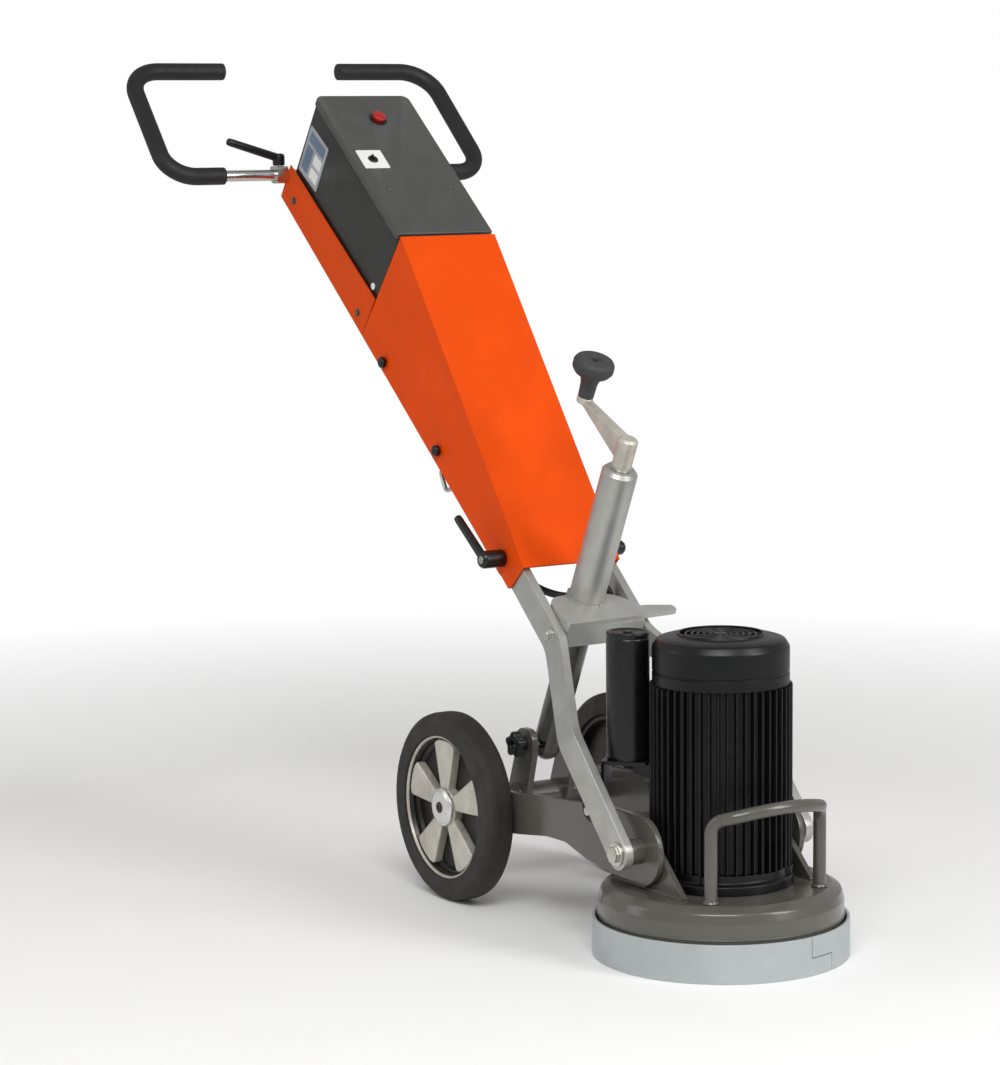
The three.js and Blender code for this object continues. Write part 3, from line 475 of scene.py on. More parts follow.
knob_green = plain("knob plastic", "16211D", 0.32, (50, 0.2), (60, 0.08), (900, 0.05, 2))


# ---------------------------------------------------------------- pieces
def body_of_node(node):
    for body, members in frame["record"]["behaviour"]["bodies"].items():
        if node in members:
            return body
    raise KeyError(node)


def smooth(obj, angle):
    obj.data.shade_smooth()
    obj.data.set_sharp_from_angle(angle=radians(angle))
    weighted = obj.modifiers.new("even normals", "WEIGHTED_NORMAL")
    weighted.keep_sharp = True
    weighted.weight = 80


def piece(name, parts, node=None, rides=None, angle=38):
    """One object from (shape, material) pairs. It stands for a CAD node, or rides as an extra."""
    materials = []
    vertices, faces, slots = [], [], []
    for (part_vertices, part_faces), material in parts:
        if material not in materials:
            materials.append(material)
        first = len(vertices)
        vertices += [placed(v) for v in part_vertices]
        faces += [tuple(first + i for i in face) for face in part_faces]
        slots += [materials.index(material)] * len(part_faces)
    mesh = bpy.data.meshes.new(name)
    mesh.from_pydata(vertices, [], faces)
    mesh.polygons.foreach_set("material_index", slots)
    for material in materials:
        mesh.materials.append(material)
    work = bmesh.new()
    work.from_mesh(mesh)
    bmesh.ops.recalc_face_normals(work, faces=work.faces)
    work.to_mesh(mesh)
    work.free()
    obj = bpy.data.objects.new(name, mesh)
    bpy.context.scene.collection.objects.link(obj)
    smooth(obj, angle)
    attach(obj, rides or body_of_node(node))
    if node:
        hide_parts(node)
    return obj


def keep(node, material, width=0.6, segments=2, angle=38):
    """Shows the CAD's own solid, with its edges softened."""
    obj = frame["nodes"][node]
    obj.data.materials.clear()
    obj.data.materials.append(material)
    for polygon in obj.data.polygons:
        polygon.material_index = 0
    if width:
        bevel = obj.modifiers.new("edge radius", "BEVEL")
        bevel.width = width * MM
        bevel.segments = segments
        bevel.limit_method = "ANGLE"
        bevel.angle_limit = radians(32)
    smooth(obj, angle)
    return obj


def jack_at(s, q=0.0, y=0.0):
    return (JACK_FOOT[0] + s * JACK_DIR[0] + q * JACK_DIR[1], y,
            JACK_FOOT[1] + s * JACK_DIR[1] - q * JACK_DIR[0])


JACK_AXIS = (JACK_DIR[0], 0, JACK_DIR[1])
# Turns (q, y, s) into machine coordinates: q across the jack, s along it.
JACK_FRAME = Matrix((
    (JACK_DIR[1], 0, JACK_DIR[0], JACK_FOOT[0]),
    (0, 1, 0, 0),
    (-JACK_DIR[0], 0, JACK_DIR[1], JACK_FOOT[1]),
    (0, 0, 0, 1),
))


def across(side, low, high):
    return (-high, -low) if side < 0 else (low, high)


def hex_bolt(x, z, side, y, radius, height, washer=0.0):
    """A hexagon head, with a washer under it, on a face square to Y."""
    shapes = [plate(hexagon(x, z, radius), *across(side, y + washer, y + height), bevel=0.7)]
    dome = [(0, y + height - 0.6), (radius * 0.78, y + height - 0.6), (radius * 0.7, y + height + 0.5, 0.4),
            (0, y + height + 0.7)]
    shapes.append(crosswise(dome, x, z, side, 32))
    if washer:
        shapes.append(crosswise(ring(0.1, radius * 1.35, y, y + washer, 0.3), x, z, side, 40))
    return shapes


# ---------------------------------------------------------------- wheels
def wheels():
    half = WHEEL_W / 2
    tyre = [
        (RIM_R + GAP, -half, 1), (117, -half, 4), (123.5, -half + 5, 4), (WHEEL_R, -half + 12, 10),
        (WHEEL_R, half - 12, 10), (123.5, half - 5, 4), (117, half, 4), (RIM_R + GAP, half, 1),
    ]
    for word, side in SIDES:
        centre, out = (0, side * WHEEL_Y, WHEEL_R), (0, side, 0)
        piece(f"{word}_tyre", [(turned(tyre, centre, out, 112), rubber)], f"tyre_{word}")
        barrel = turned([(88, -17, 1.2), (RIM_R, -17, 1.5), (RIM_R, 15), (91, 15, 0.5), (88.5, 10, 3)],
                        centre, out, 96)
        lip = turned([(91.4, 14.6), (RIM_R, 14.6), (RIM_R, 18, 1.2), (92.5, 18, 1)], centre, out, 96)
        web = turned([(AXLE_R + GAP, -4), (89, -4), (89, 1.5, 1), (24, 1.5), (AXLE_R + GAP, 1.5)],
                     centre, out, 96)
        hub = turned(ring(AXLE_R + GAP, 26, -19, 15, 2.5), centre, out, 48)
        bead = turned([(82, 1, 1), (89, 1), (89, 7, 1), (86, 6.5, 2)], centre, out, 96)
        # Web, barrel and bead take the dark painted shade; lip, hub and spokes take the cast colour.
        parts = [(lip, cast_rim), (barrel, rim_recess_painted_shade), (web, rim_recess_painted_shade), (hub, cast_rim),
                 (bead, rim_recess_painted_shade)]
        for k in range(5):
            wedge = rounded([(19, -8, 2), (84, -25, 5), (88.4, -14, 6), (89.6, 0, 20), (88.4, 14, 6),
                             (84, 25, 5), (19, 8, 2)])
            shape = plate(wedge, 1, 14.7, bevel=2.2, plane="z", steps=3)
            turn = pi / 2 + 2 * pi * k / 5
            face = Matrix.Rotation(pi / 2 if side < 0 else -pi / 2, 4, "X")
            matrix = Matrix.Translation(centre) @ face @ Matrix.Rotation(turn, 4, "Z")
            parts.append((moved(shape, matrix), cast_rim))
        piece(f"{word}_rim", parts, f"rim_{word}")


def axle():
    shapes = [(crosswise([(0, -153), (AXLE_R, -153, 1), (AXLE_R, 153, 1), (0, 153)], 0, WHEEL_R,
                         1, 32), zinc)]
    for _, side in SIDES:
        centre, out = (0, side * WHEEL_Y, WHEEL_R), (0, side, 0)
        cap = [(0, 16.3), (25.3, 16.3, 0.8), (25.3, 19, 1.5), (20, 21.5, 3), (10, 22, 0), (0, 22)]
        shapes.append((turned(cap, centre, out, 56), hub_white))
        shapes.append((turned([(0, 21), (7.5, 21), (7.5, 23, 0.8), (3.2, 23.2, 0.5), (3.2, 22.2), (0, 22.2)],
                              centre, out, 32),
                       black_plastic))
    piece("axle_and_caps", shapes, "axle")


# ---------------------------------------------------------------- wheel chassis
def chassis():
    x, _, z = jack_at(JACK_PIN)
    tube_part = crosswise(ring(AXLE_R + GAP, 18, -RAIL_Y + GAP, RAIL_Y - GAP, 0.8), 0, WHEEL_R, 1, 48)
    outline = rounded([(-24, 118, 3), (24, 118, 3), (x + 20, z - 10, 14), (x + 20, z + 20, 16),
                       (x - 20, z + 20, 16), (x - 22, z - 10, 14)])
    hole = circle(x, z, 6.3, 24)
    parts = [(tube_part, olive)]
    for _, side in SIDES:
        parts.append((plate(outline, *across(side, 28, 38), holes=[hole], bevel=1), olive))
        weld = turned([(18, 0, 0), (21, -2, 1), (20, 2.5, 1), (18, 3)], (0, side * 38, WHEEL_R),
                      (0, side, 0), 40)
        parts.append((weld, olive))
    piece("axle_tube_and_lugs", parts, "axle_beam")

    crown = circle(*PIVOT, 44, 30, -pi / 2, pi * 1.02)
    side_view = rounded(
        [(-26, 99, 24), (60, 99, 60), (123, 106, 40), (190, 116, 60), (236, 117, 40), (285, 104, 30),
         (350, 97, 20)]
        + [(p.x, p.y) for p in crown]
        + [(340, 181, 12), (314, 178.5, 4), (311, 171, 0)]
        + [(p.x, p.y) for p in circle(STOP_PIN[0], STOP_PIN[1] + 3, 17, 18, 0, -pi)]
        + [(277, 171, 0), (275, 175.6, 4), (119, 160, 20), (-26, 152, 24)])
    for word, side in SIDES:
        holes = [circle(*PIVOT, 8.3, 28), circle(0, WHEEL_R, AXLE_R + GAP, 28)]
        parts = [(plate(side_view, *across(side, RAIL_Y, RAIL_Y + RAIL_T), holes=holes, bevel=1.2), olive)]
        lip = bends([(119, 0, 154), (150, 0, 157.5, 80), (262, 0, 168.5)])
        roll = tube([(p.x, side * (RAIL_Y - 4), p.z) for p in lip], 4.4, 16, 2)
        parts.append((roll, olive))
        flange = plate(rounded([(119, 152.4), (119, 157), (262, 171), (262, 166.8)]),
                       *across(side, RAIL_Y - 12, RAIL_Y + 1), bevel=1)
        parts.append((flange, olive))
        boss = crosswise(ring(8.3, 16, RAIL_Y + RAIL_T - 1, ARM_LOW_Y - GAP, 1.2), PIVOT[0],
                         PIVOT[1], side, 40)
        parts.append((boss, olive))
        piece(f"{word}_rail", parts, f"chassis_rail_{word}")
        shank = crosswise([(0, 90.5), (8, 90.5, 1), (8, 143), (0, 143)], PIVOT[0], PIVOT[1], side, 32)
        head = hex_bolt(*PIVOT, side, ARM_LOW_Y + ARM_T + GAP, 11, 8, 2)
        piece(f"{word}_pivot_bolt", [(s, zinc) for s in [shank] + head], f"pivot_bolt_{word}")
    keep("rail_cross_plate", olive, 1.0)

    pin = crosswise([(0, -52), (6, -52, 1), (6, 45.5, 1), (0, 45.5)], x, z, 1, 28)
    collar = crosswise(ring(5, 9, 38.3, 44, 0.8), x, z, 1, 28)
    piece("jack_foot_pin", [(pin, zinc), (collar, zinc)], "jack_pin")
    lobes = []
    for k in range(90):
        angle = 2 * pi * k / 90
        r = 15.5 + 2.3 * cos(5 * angle)
        lobes.append((x + r * sin(angle), z + r * cos(angle)))
    star = plate(lobes, -57.5, -44, holes=[circle(x, z, 6.3, 24)], bevel=2.2, steps=4)
    stem = turned(ring(6.3, 9.5, 38.9, 45, 0.8), (x, 0, z), (0, -1, 0), 32)
    piece("star_knob", [(star, knob_green), (stem, knob_green)], "lock_knob")


# ---------------------------------------------------------------- grinding head
def head():
    centre = (HEAD_X, 0, 0)
    band = []
    # the band's two ends meet in a stepped seam
    first, last, split, half_gap = radians(7.8), radians(21.9), 22.0, 0.5
    slit = half_gap / SKIRT_R
    for low, high, start, end, count in (
        (0.0, SKIRT_H, last, 2 * pi + first, 150), (split + half_gap, SKIRT_H, first + 2 * slit, last, 8),
        (0.0, split - half_gap, first, last - 2 * slit, 8),
    ):
        profile = rounded([(SKIRT_R - 3.6, low, 0.4), (SKIRT_R, low, 0.9), (SKIRT_R, high, 0.9),
                           (SKIRT_R - 3.6, high, 0.4)], 0.5)
        vertices, faces = [], []
        for i in range(count + 1):
            angle = start + (end - start) * i / count
            vertices += [(HEAD_X + p.x * cos(angle), p.x * sin(angle), p.y) for p in profile]
        n = len(profile)
        for i in range(count):
            faces += [(i * n + k, i * n + (k + 1) % n, (i + 1) * n + (k + 1) % n,
                       (i + 1) * n + k) for k in range(n)]
        faces += [tuple(range(n)), tuple(range(count * n, (count + 1) * n))]
        band.append(((vertices, faces), skirt_grey))
    liner = turned(ring(SKIRT_R - 4, SKIRT_R - 3, 0.5, SKIRT_H - 0.5, 0.2), centre, UP, 128)
    band.append((liner, skirt_grey))
    piece("skirt", band, "skirt_band")

    cover = [
        (148, 30), (152, 30, 0.8), (152, 71, 7), (148.6, 83, 6), (136, COVER_TOP, 8), (100, COVER_TOP),
        (60, COVER_TOP),
        (30, COVER_TOP), (30, 86), (131, 86, 8), (144, 79, 6), (148, 70, 5),
    ]
    parts = [(turned(cover, centre, UP, 144), olive)]
    fold = turned([(152, 50, 0), (153.6, 51.5, 1), (152, 53, 0)], centre, UP, 144)
    parts.append((fold, olive))
    outline = rounded([
        (332, COVER_TOP - 1, 2), (484, COVER_TOP - 1, 2), (416, 152, 12), (396, 163, 12), (372, 165, 20),
        (325, 171, 8),
        (300, 178, 6), (284, 178, 6), (284, 154, 6), (318, 146, 20),
    ])
    for _, side in SIDES:
        lug = plate(outline, *across(side, LUG_Y, LUG_Y + 8), holes=[circle(*PIVOT, 8.3, 28)], bevel=1.2)
        parts.append((lug, olive))
        foot = tube([(334, side * (LUG_Y + 8.5), COVER_TOP + 0.5),
                     (482, side * (LUG_Y + 8.5), COVER_TOP + 0.5)], 2.6, 12, 1)
        parts.append((foot, olive))
        pin = crosswise([(0, 96), (6, 96), (6, 116, 1.2), (0, 116)], STOP_PIN[0], STOP_PIN[1], side, 28)
        parts.append((pin, zinc))
    piece("pressed_cover", parts, "head_cover")

    leg = radians(41)

    def leg_at(side, z):
        return (HEAD_X + 124 * cos(leg), side * 124 * sin(leg), z)

    over = []
    for k in range(25):
        angle = leg * (k - 12) / 16.8
        over.append((HEAD_X + 133 * cos(angle), 133 * sin(angle),
                     190 + 15 * cos(angle / leg * pi / 2)))
    route = bends([leg_at(-1, COVER_TOP + GAP), (*leg_at(-1, 189), 20)] + over + [(*leg_at(1, 189), 20),
                                                                                  leg_at(1, COVER_TOP + GAP)])
    shapes = [tube(route, 8, 28)]
    for side in (-1, 1):
        shapes.append(turned([(7.6, 0, 0), (11, 0, 0.8), (8.6, 3.5, 1.5), (7.6, 4, 0)],
                             leg_at(side, COVER_TOP + GAP), UP, 36))
    piece("lifting_handle", [(s, olive) for s in shapes], "carry_handle")
    keep("tool_plate", dark_steel, 0.8)
    for k in (1, 2, 3):
        keep(f"diamond_shoe_{k}", diamond, 1.0)


# ---------------------------------------------------------------- motor
def motor():
    centre = (HEAD_X, 0, 0)
    low = COVER_TOP + GAP
    flange = [(13, low), (90, low, 1), (90, 101, 2), (84, 104.5, 3), (84, FIN_LOW - GAP, 1),
              (13, FIN_LOW - GAP)]
    parts = [(turned(flange, centre, UP, 96), motor_black)]
    for k in range(4):
        angle = pi / 4 + pi / 2 * k
        lug = plate(rounded([(78, -13, 3), (89, -10, 5), (89, 10, 5), (78, 13, 3)]), 103, 113.4,
                    bevel=1.2, plane="z")
        matrix = Matrix.Translation(centre) @ Matrix.Rotation(angle, 4, "Z")
        parts.append((moved(lug, matrix), motor_black))
    piece("motor_foot_flange", parts, "motor_flange")

    fins = []
    step = 2 * pi / FIN_COUNT
    for k in range(FIN_COUNT):
        for r, share in ((78.6, -0.30), (79.4, -0.17), (87.3, -0.115), (MOTOR_R, -0.06), (MOTOR_R, 0.06),
                         (87.3, 0.115),
                         (79.4, 0.17), (78.6, 0.30)):
            angle = (k + share) * step
            fins.append((HEAD_X + r * cos(angle), r * sin(angle)))
    body = plate(fins, FIN_LOW, FIN_HIGH, holes=[circle(HEAD_X, 0, 75, 64)], bevel=0.5, plane="z", steps=1)
    piece("finned_housing", [(body, cast_black)], "motor_housing")

    shield = [(13, FIN_HIGH + GAP), (80, FIN_HIGH + GAP, 0.5), (80, 344, 1), (30, 347, 3), (13, 347)]
    piece("end_shield", [(turned(shield, centre, UP, 72), motor_black)], "motor_top_shield")

    hood = [
        (82, FIN_HIGH + GAP), (FAN_COVER_R, FIN_HIGH + GAP, 0.6), (FAN_COVER_R, 351.5, 0.5),
        (83.2, 352.5, 0.4),
        (83.2, 354, 0.4), (FAN_COVER_R, 355, 0.5), (FAN_COVER_R, 384, 7), (79, 393, 7), (70, 395.6, 8),
        (55, 397.6, 1),
        (53.2, 400.4, 1), (50.6, 400.4, 0.8), (50.6, 396, 0.8), (69, 393, 4), (77, 390, 5), (82, 383, 4),
    ]
    parts = [(turned(hood, centre, UP, 128), motor_black)]
    for radius in (43.5, 36, 28.5, 21, 13.5):
        wire = [Vector((radius + 1.5 * cos(a), 397.6 + 1.5 * sin(a)))
                for a in [2 * pi * k / 10 for k in range(10)]]
        parts.append((lathe([(p.x, p.y) for p in wire], centre, UP, 72), motor_black))
    boss = turned([(0, 395.6), (8.5, 395.6, 0.5), (8.5, 399, 1), (0, 400)], centre, UP, 40)
    parts.append((boss, motor_black))
    for k in range(8):
        angle = 2 * pi * (k + 0.5) / 8
        spoke = tube([(HEAD_X + 6 * cos(angle), 6 * sin(angle), 396.8),
                      (HEAD_X + 51.5 * cos(angle), 51.5 * sin(angle), 397)], 1.5, 10)
        parts.append((spoke, motor_black))
    for k in range(4):
        angle = radians(20) + pi / 2 * k
        at = (HEAD_X + (FAN_COVER_R - 0.6) * cos(angle), (FAN_COVER_R - 0.6) * sin(angle), 345)
        out = (cos(angle), sin(angle), 0)
        parts.append((turned([(0, -1), (4, -1), (4, 0.9, 0.5), (2.6, 1.6, 0.4), (0, 1.6)], at, out, 24),
                      motor_black))
    piece("fan_hood", parts, "fan_cover")
    keep("cooling_fan", black_plastic, 0.5)
    keep("rotor_shaft", dark_steel, 0.5)
    keep("stator", laminate, 0.5)

    can = [(0, 238), (26, 238, 1.5), (27, 242, 1), (27, 389, 0.5), (26.4, 390, 0.3), (26.4, 391.5, 0.3),
           (27, 392.5, 0.5), (27, 396.5, 1.2), (24.5, 398, 1), (22, 397, 1), (20, 396, 0), (0, 396)]
    rim = turned([(22, 396), (26.2, 396, 0.4), (26.2, 397.6, 0.5), (23.5, 397.9, 0.4),
                  (22, 397.2, 0)], CAPACITOR, UP, 56)
    cap = [(turned(can, CAPACITOR, UP, 64), black_plastic), (rim, black_plastic)]
    nut = turned([(0, 395), (6, 395), (6, 398, 0.8), (0, 398)], CAPACITOR, UP, 24)
    cap.append((nut, black_plastic))
    piece("run_capacitor", cap, "capacitor_case")
    keep("capacitor_bracket", motor_black, 0.8)

    parts = [(block(287, 330.3, -42, 42, 206, 270, 3), motor_black),
             (block(286, 330.3, -41.4, 41.4, 270.6, 290, 3), motor_black)]
    for y in (-32, 32):
        parts.append((turned([(0, 289), (4, 289), (4, 290, 0.4), (0, 290)], (308, y, 0), UP, 20), zinc))
    for y in (-18, 18):
        gland = turned([(0, -0.2), (9, -0.2), (9, 3), (0, 3)], (290, y, 228), (-1, 0, 0), 6)
        parts.append((gland, black_plastic))
    piece("motor_terminal_box", parts, "terminal_box")


# ---------------------------------------------------------------- arms and jack
def ribbon(stations, side):
    """A flat bar through stations: its two edges in side view and the y of its inner face."""
    def point(at, y):
        return Vector((at[0], side * y, at[1]))

    rows = []
    for a, b, y in stations:
        pa, pb = Vector(a), Vector(b)
        along = (pb - pa).normalized()
        b_in = 1.1
        rows.append([
            point(pa + along * b_in, y), point(pa + along * 0.3, y + 0.3), point(pa, y + b_in),
            point(pa, y + ARM_T - b_in), point(pa + along * 0.3, y + ARM_T - 0.3),
            point(pa + along * b_in, y + ARM_T),
            point(pb - along * b_in, y + ARM_T), point(pb - along * 0.3, y + ARM_T - 0.3),
            point(pb, y + ARM_T - b_in),
            point(pb, y + b_in), point(pb - along * 0.3, y + 0.3), point(pb - along * b_in, y),
        ])
    n = len(rows[0])
    vertices = [tuple(v) for row in rows for v in row]
    faces = []
    for i in range(len(rows) - 1):
        faces += [(i * n + k, i * n + (k + 1) % n, (i + 1) * n + (k + 1) % n,
                   (i + 1) * n + k) for k in range(n)]
    faces += [tuple(range(n)), tuple(range((len(rows) - 1) * n, len(rows) * n))]
    return vertices, faces


def round_end(centre, toward, y, count=12):
    at, aim = Vector(centre), Vector(toward)
    u = (aim - at).normalized()
    stations = []
    for k in range(count):
        angle = 0.2 + (pi / 2 - 0.2) * k / (count - 1)
        back, half = -ARM_W / 2 * cos(angle), ARM_W / 2 * sin(angle)
        p = at + u * back
        across_u = Vector((u.y, -u.x))
        stations.append((tuple(p + across_u * half), tuple(p - across_u * half), y))
    return stations


def eased(first, second, third, count=7, share=0.09):
    """Rounds the middle one of three stations, so a bend in the bar has a radius."""
    rows = []
    for k in range(count):
        t = k / (count - 1)
        pull = []
        for j in (0, 1):
            a, b, c = Vector(first[j]), Vector(second[j]), Vector(third[j])
            start, end = b.lerp(a, share), b.lerp(c, share)
            pull.append(tuple(start * (1 - t) ** 2 + b * 2 * t * (1 - t) + end * t ** 2))
        y0, y1 = second[2] + (first[2] - second[2]) * share, second[2] + (third[2] - second[2]) * share
        y = y0 * (1 - t) ** 2 + second[2] * 2 * t * (1 - t) + y1 * t ** 2
        rows.append((pull[0], pull[1], y))
    return rows


def arms():
    knee = ((131, 345), (165, 369), ARM_Y)
    bend = ((270, 250), (302, 275), ARM_LOW_Y)
    top = round_end(HINGE, (148, 357), ARM_Y)
    low = [(b, a, y) for a, b, y in round_end(PIVOT, (286, 262.5), ARM_LOW_Y)][::-1]
    stations = top + eased(top[-1], knee, bend) + eased(knee, bend, low[0]) + low
    for word, side in SIDES:
        piece(f"{word}_arm", [(ribbon(stations, side), silver)], f"arm_{word}", angle=50)
    x, z = TIE_BOLT
    shapes = [crosswise([(0, -74), (6, -74), (6, 74), (0, 74)], x, z, 1, 24)]
    for _, side in SIDES:
        shapes += hex_bolt(x, z, side, ARM_Y + ARM_T + GAP, 7.2, 6.4, 1.4)
    piece("through_bolt", [(s, zinc) for s in shapes], "tie_bolt")
    keep("cross_tube", silver, 2.0, 3)


def weld_spatter(foot):
    """A lumpy bead of overlapping drops round the foot of the sleeve."""
    drops = []
    count = 36
    for k in range(count):
        angle = 2 * pi * k / count
        size = 2.6 + 0.7 * sin(5.1 * k) + 0.4 * sin(2.3 * k + 1)
        reach = 24.2 + 0.6 * sin(3.7 * k)
        centre = JACK_FRAME @ Vector((reach * cos(angle), reach * sin(angle), PLATE_S + 6.2))
        dome = [(0, 0), (size, 0), (size * 0.9, size * 0.25, 0.6), (size * 0.45, size * 0.5, 0.8),
                (0, size * 0.55)]
        drops.append((turned(dome, centre, JACK_AXIS, 14), weld_bead))
    return drops


def jack():
    foot = jack_at(0)
    keep("jack_plate", silver, 1.4, 3)
    sleeve = [(20, PLATE_S + 6 + GAP), (23.5, PLATE_S + 6 + GAP), (23.5, JACK_TOP - 5, 1.5),
              (19, JACK_TOP, 0.8),
              (9, JACK_TOP, 0), (9, JACK_TOP - 7), (20, JACK_TOP - 7)]
    collar = turned(ring(9.4, 14.5, JACK_TOP - 0.6, JACK_TOP + 0.1, 0.2), foot, JACK_AXIS, 48)
    parts = [(turned(sleeve, foot, JACK_AXIS, 72), silver), (collar, chrome)]
    piece("jack_sleeve", parts + weld_spatter(foot), "jack_outer_tube")
    keep("jack_inner_tube", olive, 0.0, angle=30)
    keep("crank_screw", zinc, 0.0)

    hub = [(0, JACK_TOP + GAP), (11.8, JACK_TOP + GAP, 0.8), (13, JACK_TOP + 6, 3), (13, CRANK_TOP - 3, 2.5),
           (9, CRANK_TOP, 2), (0, CRANK_TOP)]
    grip_foot = jack_at(0, -CRANK_REACH)
    web = [(6, CRANK_TOP - 1.7, 2), (-CRANK_REACH - 6.8, CRANK_TOP - 1.7, 3),
           (-CRANK_REACH - 6.8, CRANK_TOP - 8, 3),
           (-CRANK_REACH + 10, CRANK_TOP - 11, 20), (-8, JACK_TOP + 10, 12), (6, JACK_TOP + 10, 3)]
    outline = [(p.x, p.z) for p in (Vector(jack_at(s, q)) for q, s in ((c.x, c.y) for c in rounded(web)))]
    spindle = turned([(0, CRANK_TOP - 1), (4, CRANK_TOP - 1), (4, CRANK_TOP + 50, 0.8), (0, CRANK_TOP + 50)],
                     grip_foot, JACK_AXIS, 24)
    pad = turned([(0, CRANK_TOP - 9), (10.6, CRANK_TOP - 9, 2), (10.6, CRANK_TOP, 1.5), (0, CRANK_TOP)],
                 grip_foot, JACK_AXIS, 40)
    parts = [(turned(hub, foot, JACK_AXIS, 48), cast_rim),
             (plate(outline, -7.3, 7.3, bevel=2.6, steps=4), cast_rim),
             (pad, cast_rim), (spindle, zinc)]
    piece("crank", parts, "crank_arm")
    base = CRANK_TOP + GAP
    knob = [(4.4, base), (10.3, base, 1), (11.2, base + 20, 20), (14, base + 28, 6), (23, base + 34, 5),
            (27.2, base + 40, 4),
            (27.2, base + 49, 4), (24, base + 54.4, 4), (8, base + 54.8, 1), (7, base + 52.6, 0.5),
            (4.4, base + 52.6)]
    piece("crank_grip", [(turned(knob, grip_foot, JACK_AXIS, 64), knob_grey)], "crank_knob")


# ---------------------------------------------------------------- mast
def lid_frame():
    u = (Vector(LID_FRONT) - Vector(LID_BACK)).normalized()
    return Matrix(((u.x, 0, -u.y, LID_BACK[0]), (0, 1, 0, 0), (u.y, 0, u.x, LID_BACK[1]), (0, 0, 0, 1)))


LID_FRAME = lid_frame()
LID_LENGTH = (Vector(LID_FRONT) - Vector(LID_BACK)).length


def on_lid(shape):
    return moved(shape, LID_FRAME)


